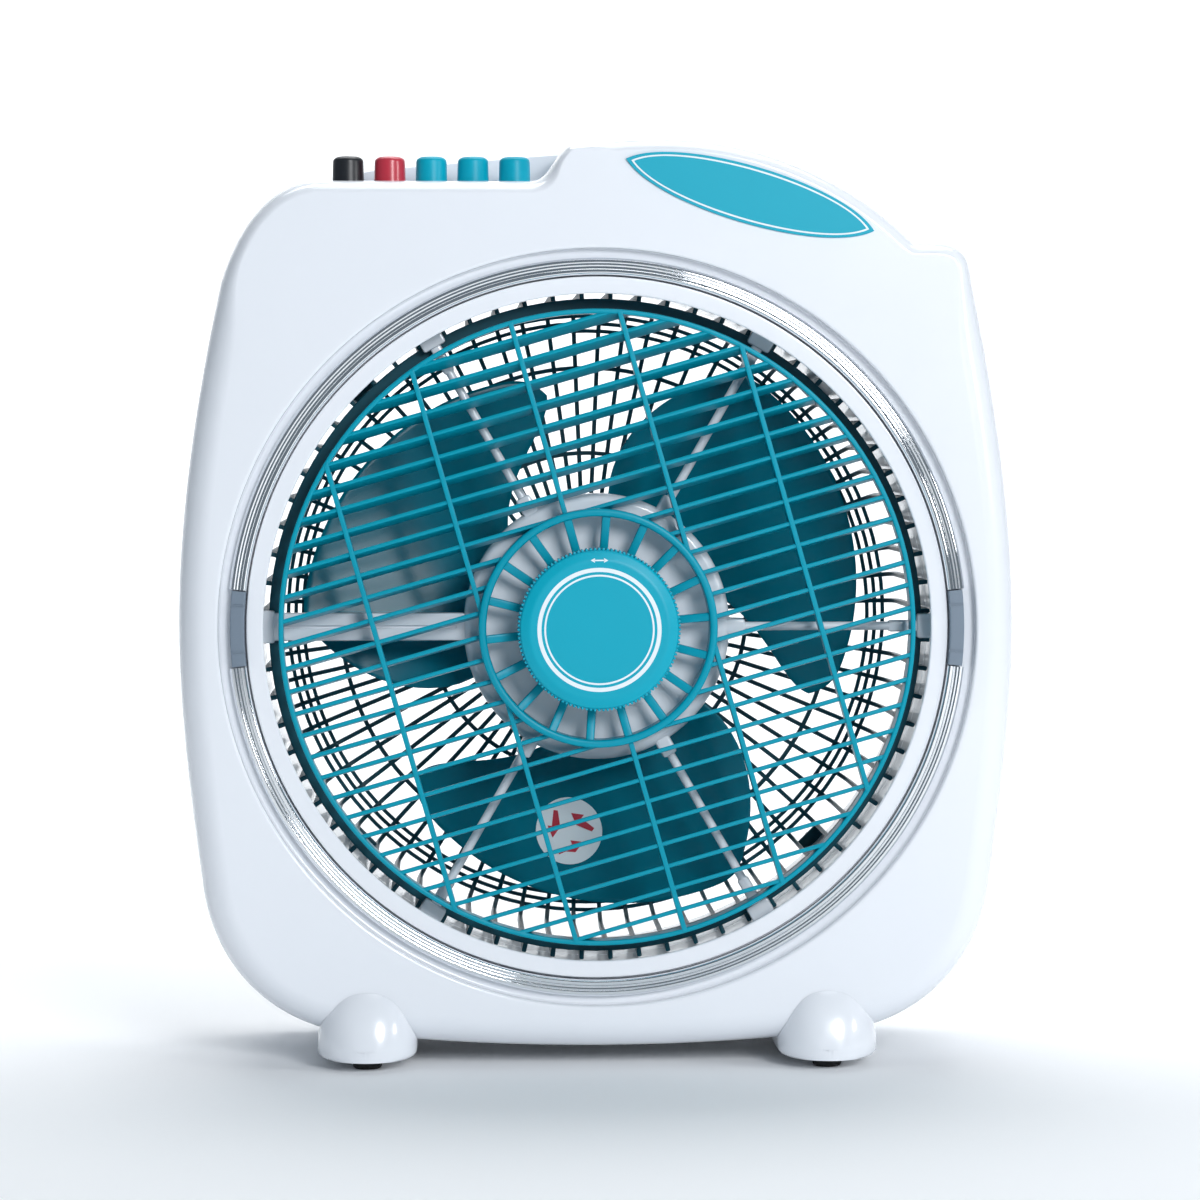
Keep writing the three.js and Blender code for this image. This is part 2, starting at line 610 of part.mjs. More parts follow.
const spindleFront = insertFront + 1;
const spindleBack = SLOW_MOTOR_FRONT + SLOW_MOTOR_DEPTH - 2;
add(onAxis, 'louvre_spindle', turned([
  [0, spindleFront],
  [SPINDLE_RADIUS, spindleFront],
  [SPINDLE_RADIUS, HUB_PLATE_BACK + GAP],
  [SPINDLE_FLANGE, HUB_PLATE_BACK + GAP],
  [SPINDLE_FLANGE, FLANGE_BACK],
  [SPINDLE_RADIUS, FLANGE_BACK],
  [SPINDLE_RADIUS, spindleBack],
  [0, spindleBack],
], FINE_SIDES), STEEL);

// ---------------------------------------------------------------------------
// Louvre bracket: a cup on six arms, with the slow motor inside it
// ---------------------------------------------------------------------------

function louvreBracket() {
  const cup = solid(turned([
    [SPINDLE_RADIUS + SPINDLE_CLEARANCE, BRACKET_FRONT],
    [BRACKET_RADIUS - 3, BRACKET_FRONT],
    [BRACKET_RADIUS, BRACKET_FRONT + 3],
    [BRACKET_RADIUS, BRACKET_BACK],
    [BRACKET_RADIUS - WALL, BRACKET_BACK],
    [BRACKET_RADIUS - WALL, BRACKET_FRONT + WALL],
    [SPINDLE_RADIUS + SPINDLE_CLEARANCE, BRACKET_FRONT + WALL],
  ]));
  const start = BRACKET_RADIUS - 1;
  const end = DUCT_BORE;
  const [clipLength, clipDepth, clipHeight] = ARM_CLIP;
  const arms = [];
  for (let i = 0; i < 6; i += 1) {
    const turn = -radians(60 * i);
    const isWireArm = i === 3;
    const arm = isWireArm
      ? new THREE.BoxGeometry(end - start, clipDepth - 1, WIRE_ARM_HEIGHT)
      : new THREE.CylinderGeometry(ARM_RADIUS * 0.85, ARM_RADIUS * 1.15, end - start, SMALL_SIDES)
        .rotateZ(-Math.PI / 2);
    const clip = new THREE.BoxGeometry(clipLength, clipDepth, isWireArm ? WIRE_ARM_HEIGHT + 2 : clipHeight);
    const root = new THREE.BoxGeometry(...ARM_ROOT);
    arms.push(solid(arm.translate((start + end) / 2, ARM_Y, 0).rotateY(turn)));
    arms.push(solid(clip.translate(end - clipLength / 2, ARM_Y, 0).rotateY(turn)));
    arms.push(solid(root.translate(start + 2.5, ARM_Y, 0).rotateY(turn)));
  }
  const motorHollow = solid(rod(BRACKET_RADIUS - WALL, BRACKET_FRONT + WALL, BRACKET_BACK + 1, 0, 0,
    MID_SIDES));
  const ductSpace = solid(rod(DUCT_BORE - GAP, BRACKET_FRONT - 5, BRACKET_BACK + 5, 0, 0, WIDE_SIDES));
  return join(cup, ...arms).intersect(ductSpace).subtract(motorHollow);
}

add(onAxis, 'louvre_bracket', louvreBracket(), WHITE);
add(onAxis, 'louvre_motor', ring(SPINDLE_RADIUS + GAP, SLOW_MOTOR_RADIUS,
  SLOW_MOTOR_FRONT, SLOW_MOTOR_FRONT + SLOW_MOTOR_DEPTH, FINE_SIDES), CAST);
add(onAxis, 'louvre_motor_cover',
  rod(BRACKET_RADIUS - WALL - GAP, BRACKET_BACK - WALL, BRACKET_BACK, 0, 0, MID_SIDES), WHITE);

// ---------------------------------------------------------------------------
// Blade and its nut
// ---------------------------------------------------------------------------

function ease(t) {
  return t * t * (3 - 2 * t);
}

// One blade: u runs from the root to the tip, v from the leading to the trailing edge.
function bladePoint(u, v, side) {
  const root = BLADE_HUB_RADIUS - 1.2;
  const leadCorner = 8 * Math.max(0, 1 - v / 0.12) ** 3;
  const trailCorner = 3 * Math.max(0, 1 - (1 - v) / 0.08) ** 3;
  const tip = BLADE_RADIUS - 18 * (1 - v) ** 1.5 - leadCorner - trailCorner;
  const lead = 25 - 43.7 * ease(u);
  const trail = 84 - 23.4 * (Math.max(0, u - 0.35) / 0.65) ** 1.5;
  const radius = root + (tip - root) * u;
  const angle = radians(lead + (trail - lead) * v);
  const camber = 5 * v * (1 - v) * u;
  const y = BLADE_FRONT + 1 + BLADE_DROP * (1 - v) - camber + side * BLADE_THICKNESS + BLADE_THICKNESS / 2;
  return [radius * Math.cos(angle), y, radius * Math.sin(angle)];
}

function bladeSheet() {
  const sheet = new THREE.BoxGeometry(1, 1, 1, 5, 8, 1);
  const place = sheet.attributes.position;
  for (let i = 0; i < place.count; i += 1) {
    place.setXYZ(i, ...bladePoint(place.getX(i) + 0.5, place.getY(i) + 0.5, place.getZ(i)));
  }
  return sheet;
}

function fanBlade() {
  const back = BLADE_FRONT + BLADE_HUB_DEPTH;
  const bore = SHAFT_RADIUS + GAP;
  const hub = solid(turned([
    [bore, BLADE_FRONT],
    [BLADE_HUB_RADIUS - 2, BLADE_FRONT],
    [BLADE_HUB_RADIUS, BLADE_FRONT + 3],
    [BLADE_HUB_RADIUS + 1.5, back],
    [BLADE_HUB_RADIUS - 1, back],
    [BLADE_HUB_RADIUS - 2.8, BLADE_FRONT + 3],
    [bore + 5, BLADE_FRONT + 3],
    [bore + 5, back],
    [bore, back],
  ]));
  const blades = [];
  for (let i = 0; i < BLADE_COUNT; i += 1) {
    blades.push(solid(bladeSheet().rotateY(-radians(i * (360 / BLADE_COUNT)))));
  }
  return join(hub, ...blades);
}

const NUT_FRONT = BLADE_FRONT - 5.5;
add(onAxis, 'fan_blade', fanBlade(), BLADE_TEAL);
add(onAxis, 'blade_nut', turned([
  [0, NUT_FRONT],
  [9, NUT_FRONT],
  [11, NUT_FRONT + 2],
  [11, BLADE_FRONT - GAP],
  [SHAFT_RADIUS + GAP, BLADE_FRONT - GAP],
  [SHAFT_RADIUS + GAP, NUT_FRONT + 1.8],
  [0, NUT_FRONT + 1.8],
], FINE_SIDES), DARK_TEAL);

// ---------------------------------------------------------------------------
// Main motor
// ---------------------------------------------------------------------------

add(onAxis, 'motor_shaft', rod(SHAFT_RADIUS, NUT_FRONT + 2.3, MOTOR_BACK - 2, 0, 0, FINE_SIDES), STEEL);
add(onAxis, 'rotor_core',
  ring(SHAFT_RADIUS + GAP, STATOR_BORE - AIR_GAP, STACK_FRONT, STACK_BACK, FINE_SIDES), LAMINATION);

// Laminated ring with slots on its inside for the coils.
function statorCore() {
  const core = solid(ring(STATOR_BORE, MOTOR_RADIUS, STACK_FRONT, STACK_BACK, MID_SIDES));
  const slots = [];
  for (let i = 0; i < 8; i += 1) {
    slots.push(solid(block(STATOR_BORE - 2, MOTOR_RADIUS - 5, STACK_FRONT - 1, STACK_BACK + 1, -2.5, 2.5)
      .rotateY(radians(i * 45))));
  }
  return cut(core, ...slots);
}

function winding(front, back) {
  const low = STATOR_BORE + 1.5;
  const high = MOTOR_RADIUS - 4.5;
  const middle = (low + high) / 2;
  return turned([
    [middle, front], [high, front + 2], [high, back - 2], [middle, back], [low, back - 2], [low, front + 2],
  ], FINE_SIDES);
}

// One end shield as a cup: rim meets the core, the bearing sits in its middle.
function endShield(outer, rim, sign) {
  const seat = BEARING_RADIUS + GAP;
  const inward = (distance) => outer + sign * distance;
  return turned([
    [seat, inward(0)],
    [MOTOR_RADIUS - 4, inward(0)],
    [MOTOR_RADIUS, inward(4)],
    [MOTOR_RADIUS, rim],
    [MOTOR_RADIUS - WALL, rim],
    [MOTOR_RADIUS - WALL, inward(WALL + 2)],
    [seat + WALL, inward(WALL)],
    [seat + WALL, inward(BEARING_LENGTH + 1)],
    [seat, inward(BEARING_LENGTH + 1)],
  ], FINE_SIDES + 6);
}

function rearShield() {
  const studs = [0, 1, 2, 3].map((i) => (
    solid(rod(3, MOTOR_BACK - 2, PLATE_FRONT - GAP, 28, 0).rotateY(radians(45 + 90 * i)))));
  return join(solid(endShield(MOTOR_BACK, STACK_BACK + GAP, -1)), ...studs);
}

function bearing(front) {
  return ring(SHAFT_RADIUS + GAP, BEARING_RADIUS, front, front + BEARING_LENGTH, FINE_SIDES);
}

add(onAxis, 'stator_core', statorCore(), LAMINATION);
add(onAxis, 'winding_front', winding(STACK_FRONT - 7.5, STACK_FRONT - GAP), COPPER);
add(onAxis, 'winding_rear', winding(STACK_BACK + GAP, STACK_BACK + 7.5), COPPER);
add(onAxis, 'motor_front_shield', endShield(MOTOR_FRONT, STACK_FRONT - GAP, 1), CAST);
add(onAxis, 'motor_rear_shield', rearShield(), CAST);
add(onAxis, 'bearing_front', bearing(MOTOR_FRONT + BEARING_INSET), BRONZE);
add(onAxis, 'bearing_rear', bearing(MOTOR_BACK - BEARING_INSET - BEARING_LENGTH), BRONZE);

// ---------------------------------------------------------------------------
// Rear grille: flat spoked back, ribs that turn forward along the duct, dark front rim
// ---------------------------------------------------------------------------

function polar(radius, degrees) {
  return [radius * Math.cos(radians(degrees)), radius * Math.sin(radians(degrees))];
}

// The back of the grille: rings joined by radial bars, with a window between each pair of bars.
function grilleBack() {
  const step = 360 / GRILLE_RIBS;
  const flat = GRILLE_RADIUS - GRILLE_CORNER;
  const outline = new THREE.Shape();
  outline.moveTo(...polar(flat, 0));
  for (let i = 1; i < GRILLE_RIBS; i += 1) outline.lineTo(...polar(flat, step * i));
  outline.closePath();
  const bands = [
    [GRILLE_PLATE + 3, GRILLE_MID_RING - GRILLE_BAR / 2],
    [GRILLE_MID_RING + GRILLE_BAR / 2, flat - 2.5],
  ];
  for (const [inside, outside] of bands) {
    for (let i = 0; i < GRILLE_RIBS; i += 1) {
      const middle = step * i;
      const near = step / 2 - THREE.MathUtils.radToDeg(GRILLE_BAR / 2 / inside);
      const far = step / 2 - THREE.MathUtils.radToDeg(GRILLE_BAR / 2 / outside);
      const hole = new THREE.Path();
      hole.moveTo(...polar(inside, middle - near));
      hole.lineTo(...polar(inside, middle + near));
      hole.lineTo(...polar(outside, middle + far));
      hole.lineTo(...polar(outside, middle - far));
      hole.closePath();
      outline.holes.push(hole);
    }
  }
  return slab(outline, BACK - GRILLE_THICKNESS, BACK);
}

function grilleRib() {
  const profile = new THREE.Shape();
  const turnX = GRILLE_RADIUS - GRILLE_CORNER;
  const turnY = BACK - GRILLE_CORNER;
  const inner = GRILLE_CORNER - GRILLE_THICKNESS;
  profile.moveTo(turnX - 2, BACK);
  profile.absarc(turnX, turnY, GRILLE_CORNER, Math.PI / 2, 0, true);
  profile.lineTo(GRILLE_RADIUS, RIM_FRONT);
  profile.lineTo(GRILLE_RADIUS - GRILLE_THICKNESS - 0.5, RIM_FRONT);
  profile.absarc(turnX, turnY, inner, 0, Math.PI / 2, false);
  profile.lineTo(turnX - 2, BACK - GRILLE_THICKNESS);
  profile.closePath();
  return new THREE.ExtrudeGeometry(profile, { depth: GRILLE_BAR, bevelEnabled: false, curveSegments: 2 })
    .translate(0, 0, -GRILLE_BAR / 2);
}

function rearGrille() {
  const ribs = [];
  for (let i = 0; i < GRILLE_RIBS; i += 1) {
    ribs.push(solid(grilleRib().rotateY(radians(((i + 0.5) * 360) / GRILLE_RIBS))));
  }
  const rim = solid(ring(GRILLE_RIM_BORE, GRILLE_RADIUS - 1.5, RIM_FRONT,
    RIM_FRONT + GRILLE_RIM_DEPTH, GRILLE_RIBS).rotateY(-Math.PI / 2));
  const ears = EARS.map((i) => solid(block(GRILLE_RADIUS - 2, GRILLE_RADIUS + EAR_REACH,
    EAR_FRONT, EAR_FRONT + 2.5, -EAR_WIDTH / 2, EAR_WIDTH / 2).rotateY(-radians(45 + 90 * i))));
  const earHoles = EARS.map(earPlace)
    .map(([x, z]) => solid(rod(PILOT + 0.1, EAR_FRONT - 1, EAR_FRONT + 4, x, z)));
  const plate = solid(turned([
    [0, PLATE_FRONT],
    [GRILLE_PLATE, PLATE_FRONT],
    [GRILLE_PLATE, BACK],
    [GRILLE_PLATE - GRILLE_THICKNESS, BACK],
    [GRILLE_PLATE - GRILLE_THICKNESS, PLATE_BACK],
    [0, PLATE_BACK],
  ], GRILLE_RIBS));
  const dish = solid(rod(GRILLE_PLATE - 1, PLATE_BACK - 1, BACK + 1, 0, 0, GRILLE_RIBS));
  const back = solid(grilleBack()).subtract(dish);
  return cut(join(back, ...ribs, rim, ...ears, plate), ...earHoles);
}

add(onAxis, 'rear_grille', rearGrille(), DARK_TEAL);
add(onAxis, 'motor_cover', turned([
  [0, BACK - 3],
  [GRILLE_PLATE - GRILLE_THICKNESS - GAP, BACK - 3],
  [GRILLE_PLATE - GRILLE_THICKNESS - GAP, BACK - 1.5],
  [GRILLE_PLATE - GRILLE_THICKNESS - 2, BACK],
  [0, BACK],
], GRILLE_RIBS), DARK_TEAL);

// ---------------------------------------------------------------------------
// Buttons, plungers and the switch block
// ---------------------------------------------------------------------------

const CAP_SKIRT = 4;
const PLUNGER_TOP = LEDGE + 4;
const PLUNGER_BOTTOM = SWITCH_TOP - 6;

function buttonCap(index) {
  const top = LEDGE + BUTTON_STAND;
  const r = BUTTON_RADIUS;
  const skin = turned([
    [0, LEDGE - CAP_SKIRT], [r, LEDGE - CAP_SKIRT], [r, LEDGE + 1], [r - 0.6, top - 1.6],
    [r - 2.2, top], [0, top],
  ], FINE_SIDES).rotateX(Math.PI / 2).scale(1, -1, 1).translate(buttonX(index), BUTTON_Y, 0);
  const [across, along] = PLUNGER;
  const socket = block(buttonX(index) - across / 2 - GAP, buttonX(index) + across / 2 + GAP,
    BUTTON_Y - along / 2 - GAP, BUTTON_Y + along / 2 + GAP, LEDGE - CAP_SKIRT - 1, PLUNGER_TOP + GAP);
  return solid(skin).subtract(solid(socket));
}

function plunger(index) {
  const [across, along] = PLUNGER;
  const x = buttonX(index);
  return block(x - across / 2, x + across / 2, BUTTON_Y - along / 2, BUTTON_Y + along / 2,
    PLUNGER_BOTTOM, PLUNGER_TOP);
}

function switchBlock() {
  const [across, along] = PLUNGER;
  const front = SWITCH_FRONT;
  const box = solid(block(SWITCH_LEFT, SWITCH_RIGHT, front, front + SWITCH_DEPTH,
    SWITCH_TOP - SWITCH_HEIGHT, SWITCH_TOP));
  const ears = solid(block(SWITCH_LEFT - EAR_SIZE, SWITCH_RIGHT + EAR_SIZE, front, front + 2.5,
    SWITCH_EAR_Z - EAR_SIZE / 2, SWITCH_EAR_Z + EAR_SIZE / 2));
  const holes = SWITCH_SCREWS.map((x) => solid(rod(PILOT, front - 1, front + 5, x, SWITCH_EAR_Z)));
  const slots = [0, 1, 2, 3, 4].map((i) => solid(block(
    buttonX(i) - across / 2 - 0.5, buttonX(i) + across / 2 + 0.5,
    BUTTON_Y - along / 2 - 0.5, BUTTON_Y + along / 2 + 0.5,
    PLUNGER_BOTTOM - BUTTON_TRAVEL - 1, SWITCH_TOP + 1)));
  return cut(join(box, ears), ...holes, ...slots);
}

const BUTTONS = [
  ['off', BLACK], ['swing', RED], ['low', KNOB_TEAL], ['medium', KNOB_TEAL], ['high', KNOB_TEAL],
];
BUTTONS.forEach(([label, colour], index) => {
  add(fan, `button_${label}`, buttonCap(index), colour);
  add(fan, `plunger_${label}`, plunger(index), CREAM);
});
add(fan, 'switch_block', switchBlock(), CREAM);

// ---------------------------------------------------------------------------
// Name badge on the hump, without a name
// ---------------------------------------------------------------------------

function badge() {
  const half = 56.5;
  const rise = 12.5;
  const outline = new THREE.Shape();
  outline.moveTo(-half, 0);
  outline.bezierCurveTo(-half + 22, -rise * 1.33, half - 22, -rise * 1.33, half, 0);
  outline.bezierCurveTo(half - 22, rise * 1.33, -half + 22, rise * 1.33, -half, 0);
  return slab(outline, FACE - GAP - 1.2, FACE - GAP, { curveSegments: 8 });
}

const badgeMesh = add(fan, 'badge', badge(), KNOB_TEAL);
badgeMesh.rotation.y = radians(16);
badgeMesh.position.set(66.3, 0, BODY_TOP - 25.7);

// ---------------------------------------------------------------------------
// Feet and pads
// ---------------------------------------------------------------------------

const FOOT_FRONT = FACE - 11;
const FOOT_MIDDLE = FOOT_FRONT + FOOT_LENGTH / 2;

function foot(x) {
  const radius = FOOT_WIDTH / 2;
  const straight = (FOOT_LENGTH - 2 * FOOT_TIP) * (radius / FOOT_TIP);
  const loaf = solid(new THREE.CapsuleGeometry(radius, straight, 5, FINE_SIDES)
    .scale(1, FOOT_TIP / radius, FOOT_HEIGHT / radius)
    .translate(x, FOOT_MIDDLE, PAD_STAND));
  const below = solid(block(-400, 400, -400, 400, -200, PAD_STAND));
  const frontBody = solid(pillow(frontOutline, FACE - GAP, PARTING + 20, FRONT_EDGE, -GAP));
  const rearBody = solid(pillow(frontOutline, PARTING - 20, BODY_BACK + GAP, REAR_EDGE, -GAP));
  const wells = padPlaces(x).map(([px, py]) => (
    solid(vertical(PAD_RADIUS + GAP, PAD_STAND - 5, PAD_STAND + PAD_SINK + GAP, px, py))));
  return cut(loaf, below, frontBody, rearBody, ...wells);
}

function padPlaces(x) {
  return [[x, FOOT_MIDDLE - PAD_SPACING / 2], [x, FOOT_MIDDLE + PAD_SPACING / 2]];
}

for (const [side, x] of [['left', -FOOT_X], ['right', FOOT_X]]) {
  add(fan, `foot_${side}`, foot(x), WHITE);
  padPlaces(x).forEach(([px, py], index) => {
    const end = index === 0 ? 'front' : 'rear';
    add(fan, `pad_${side}_${end}`, vertical(PAD_RADIUS, 0, PAD_STAND + PAD_SINK, px, py, 12), RUBBER);
  });
}

// ---------------------------------------------------------------------------
// Loose electrical pieces
// ---------------------------------------------------------------------------

const CAPACITOR = [36, 23, 18];
add(fan, 'capacitor', new THREE.BoxGeometry(...CAPACITOR)
  .translate(-(HALF_WIDTH - 66), BODY_BACK - WALL - GAP - CAPACITOR[1] / 2, AXIS_HEIGHT - 149), BLACK);

add(fan, 'cord_gland', turned([
  [3.5, BODY_BACK - 8],
  [GLAND_RADIUS, BODY_BACK - 8],
  [GLAND_RADIUS, BODY_BACK + GAP],
  [GLAND_RADIUS + 2.5, BODY_BACK + GAP],
  [GLAND_RADIUS + 2.5, BODY_BACK + 2.5],
  [GLAND_RADIUS - 0.5, BODY_BACK + 8],
  [3.5, BODY_BACK + 8],
], FINE_SIDES).translate(GLAND_X, 0, GLAND_Z), BLACK);

// ---------------------------------------------------------------------------
// Screws: heads towards the back, shanks towards the front
// ---------------------------------------------------------------------------

function screw(name, x, seat, z) {
  const mesh = add(fan, name, turned([
    [0, -SCREW_LENGTH],
    [SCREW_SHANK, -SCREW_LENGTH + 3],
    [SCREW_SHANK, 0],
    [SCREW_HEAD, 0],
    [SCREW_HEAD - 0.8, SCREW_HEAD_HEIGHT],
    [0, SCREW_HEAD_HEIGHT],
  ], SMALL_SIDES), STEEL);
  mesh.position.set(x, seat + GAP, z);
}

HOUSING_SCREWS.forEach(([x, z], index) => screw(`housing_screw_${index + 1}`, x, SCREW_SEAT, z));
EARS.map(earPlace).forEach(([x, z], index) => (
  screw(`grille_screw_${index + 1}`, x, EAR_FRONT + 2.5, z + AXIS_HEIGHT)));
SWITCH_SCREWS.forEach((x, index) => (
  screw(`switch_screw_${index + 1}`, x, SWITCH_FRONT + 2.5, SWITCH_EAR_Z)));

export default fan;
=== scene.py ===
import functools
import json
import math

import bmesh
import bpy
import numpy as np
from bpy.props import FloatProperty, FloatVectorProperty, IntProperty, PointerProperty
from mathutils import Matrix, Vector


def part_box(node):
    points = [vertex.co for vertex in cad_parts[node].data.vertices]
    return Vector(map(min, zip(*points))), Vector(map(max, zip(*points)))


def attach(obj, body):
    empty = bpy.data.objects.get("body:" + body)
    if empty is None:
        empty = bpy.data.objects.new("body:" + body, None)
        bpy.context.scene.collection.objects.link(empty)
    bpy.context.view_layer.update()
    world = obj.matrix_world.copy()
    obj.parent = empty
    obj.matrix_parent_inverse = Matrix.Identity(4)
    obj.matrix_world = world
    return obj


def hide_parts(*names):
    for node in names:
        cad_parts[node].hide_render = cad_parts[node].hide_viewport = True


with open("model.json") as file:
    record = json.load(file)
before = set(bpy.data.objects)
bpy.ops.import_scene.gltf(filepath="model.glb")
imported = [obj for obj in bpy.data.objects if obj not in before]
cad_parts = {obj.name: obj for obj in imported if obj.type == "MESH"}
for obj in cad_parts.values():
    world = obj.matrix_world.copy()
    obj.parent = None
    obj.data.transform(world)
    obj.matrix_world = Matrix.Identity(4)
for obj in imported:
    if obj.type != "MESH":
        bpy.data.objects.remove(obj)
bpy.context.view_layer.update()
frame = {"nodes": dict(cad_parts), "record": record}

bl_info = {
    "name": "Box fan",
    "version": (1, 0, 0),
    "blender": (4, 5, 0),
    "location": "View3D > Sidebar > Box fan",
    "description": "Builds the fine surfaces and finishes of a box fan round its packed model",
    "category": "Object",
}

# ---------------------------------------------------------------------------
# Planes and radii, in metres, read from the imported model
# ---------------------------------------------------------------------------

MM = 0.001
GAP = 0.3 * MM
TAU = 2 * math.pi

FRONT_LOW, FRONT_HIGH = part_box("front_housing")
REAR_LOW, REAR_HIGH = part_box("rear_housing")
DUCT_LOW, DUCT_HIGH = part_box("duct_ring")
TRIM_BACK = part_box("trim_ring_upper")[1].y
CLIP_LOW, CLIP_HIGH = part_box("trim_clip_right")
LOUVRE_LOW, LOUVRE_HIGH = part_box("louvre_grille")
KNOB_LOW, KNOB_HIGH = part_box("knob_cap")
BRACKET_LOW, BRACKET_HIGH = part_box("louvre_bracket")
BLADE_LOW, BLADE_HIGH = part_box("fan_blade")
GRILLE_LOW, GRILLE_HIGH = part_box("rear_grille")

AXIS_Z = (DUCT_LOW.z + DUCT_HIGH.z) / 2
TO_AXIS = Matrix.Translation((0, 0, AXIS_Z))
FACE = FRONT_LOW.y
PARTING = FRONT_HIGH.y
BODY_BACK = REAR_HIGH.y
BACK = GRILLE_HIGH.y
HALF_WIDTH = FRONT_HIGH.x
BODY_TOP = FRONT_HIGH.z
BELLY = FRONT_LOW.z
DUCT_OUTSIDE = DUCT_HIGH.x
DUCT_BORE = DUCT_OUTSIDE - 2.5 * MM
LIP_BORE = DUCT_BORE - 5 * MM
LIP_THICKNESS = 2.5 * MM
TRIM_INSIDE = DUCT_OUTSIDE + 0.6 * MM
TRIM_WIDTH = 7.6 * MM
BACK_EDGE_DEPTH = 13 * MM
BACK_EDGE_INSET = 11 * MM
SCREW_HEAD = 2.2 * MM
SCREW_CLEARANCE = 2.2 * MM
PILOT = 2.1 * MM
LOUVRE_RADIUS = (LOUVRE_HIGH.z - LOUVRE_LOW.z) / 2
BLADE_FRONT = BLADE_LOW.y
RIM_FRONT = GRILLE_LOW.y
BLADE_HUB_RADIUS = 31.5 * MM
BUTTONS = ("off", "swing", "low", "medium", "high")


class FanSizes(bpy.types.PropertyGroup):
    """Sizes that shape the fine surfaces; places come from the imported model."""

    wall: FloatProperty(
        name="Wall", description="Thickness of the moulded shells", default=2.4 * MM, unit="LENGTH")
    edge_depth: FloatProperty(
        name="Edge depth", description="How deep the rounding of the body's edges runs",
        default=15 * MM, unit="LENGTH")
    edge_inset: FloatProperty(
        name="Edge inset", description="How far the rounding reaches over the front face",
        default=13 * MM, unit="LENGTH")
    recess_margin: FloatProperty(
        name="Recess margin", description="Free strip of recess outside the chrome ring",
        default=4 * MM, unit="LENGTH")
    slat_count: IntProperty(
        name="Slats", description="Number of slats in the louvre", default=27, min=3)
    slat_turn: FloatProperty(
        name="Slat turn", description="How far the louvre has turned from level",
        default=math.radians(16), subtype="ANGLE")
    slat_lean_low: FloatProperty(
        name="Lean below", description="Lean of the slats below the middle",
        default=math.radians(7.5), subtype="ANGLE")
    slat_lean_top: FloatProperty(
        name="Lean at the top", description="Lean of the top slat",
        default=math.radians(25), subtype="ANGLE")
    rib_spacing: FloatProperty(
        name="Rib spacing", description="Distance between the louvre's ribs",
        default=47.3 * MM, unit="LENGTH")
    knob_grips: IntProperty(
        name="Knob grips", description="Number of fine ridges round the knob", default=120, min=8)
    grille_bars: IntProperty(
        name="Grille bars", description="Number of radial bars in the rear grille", default=72, min=8)
    blade_count: IntProperty(
        name="Blades", description="Number of blades", default=3, min=2)


class FanColours(bpy.types.PropertyGroup):
    """Base colours of the finishes."""

    shell: FloatVectorProperty(
        name="Shell", description="Moulded body", subtype="COLOR", default=(0.83, 0.86, 0.91))
    louvre: FloatVectorProperty(
        name="Louvre", description="Louvre moulding", subtype="COLOR", default=(0.0, 0.31, 0.43))
    knob: FloatVectorProperty(
        name="Knob", description="Knob, teal buttons and badge", subtype="COLOR", default=(0.0, 0.38, 0.52))
    grille: FloatVectorProperty(
        name="Rear grille", description="Rear grille and its cover", subtype="COLOR",
        default=(0.0, 0.065, 0.095))
    blade: FloatVectorProperty(
        name="Blade", description="Translucent blade", subtype="COLOR", default=(0.0, 0.16, 0.23))
    red: FloatVectorProperty(
        name="Red button", description="Swing button", subtype="COLOR", default=(0.52, 0.035, 0.06))


# ---------------------------------------------------------------------------
# Meshes
# ---------------------------------------------------------------------------

def mesh_object(name, points, faces):
    """A new object whose faces point outwards."""
    mesh = bpy.data.meshes.new(name)
    mesh.from_pydata([tuple(p) for p in points], [], faces)
    obj = bpy.data.objects.new(name, mesh)
    bpy.context.scene.collection.objects.link(obj)
    skin = bmesh.new()
    skin.from_mesh(mesh)
    bmesh.ops.recalc_face_normals(skin, faces=skin.faces)
    skin.to_mesh(mesh)
    skin.free()
    return obj


def loft(name, loops, ring=False):
    """A skin through loops of points. A ring joins its last loop to its first; others are capped.
    A loop of one point is a pole."""
    points = []
    starts = []
    for loop in loops:
        starts.append((len(points), len(loop)))
        points.extend(loop)
    pairs = list(zip(starts, starts[1:]))
    if ring:
        pairs.append((starts[-1], starts[0]))
    faces = []
    for (a, size_a), (b, size_b) in pairs:
        for i in range(max(size_a, size_b)):
            j = (i + 1) % max(size_a, size_b)
            if size_a == 1:
                faces.append((a, b + i, b + j))
            elif size_b == 1:
                faces.append((a + j, a + i, b))
            else:
                faces.append((a + i, b + i, b + j, a + j))
    if not ring:
        for start, size in (starts[0], starts[-1]):
            if size > 1:
                faces.append(tuple(range(start, start + size)))
    return mesh_object(name, points, faces)


def rounded(profile, radius, steps=3, ends_fixed=False):
    """A polyline with its corners rounded, each by no more than its sides allow."""
    points = [Vector(p) for p in profile]
    result = []
    for i, corner in enumerate(points):
        if ends_fixed and i in (0, len(points) - 1):
            result.append(corner)
            continue
        before = points[i - 1] - corner
        after = points[(i + 1) % len(points)] - corner
        reach = min(radius, 0.45 * before.length, 0.45 * after.length)
        start = corner + before.normalized() * reach
        end = corner + after.normalized() * reach
        for k in range(steps + 1):
            t = k / steps
            result.append(start.lerp(corner, t).lerp(corner.lerp(end, t), t))
    return [tuple(p) for p in result]


def circle(radius, y, sides):
    """A loop about the Y axis, or its middle point where the radius is nothing."""
    if radius < 1e-7:
        return [Vector((0, y, 0))]
    return [Vector((radius * math.cos(TAU * i / sides), y, radius * math.sin(TAU * i / sides)))
            for i in range(sides)]


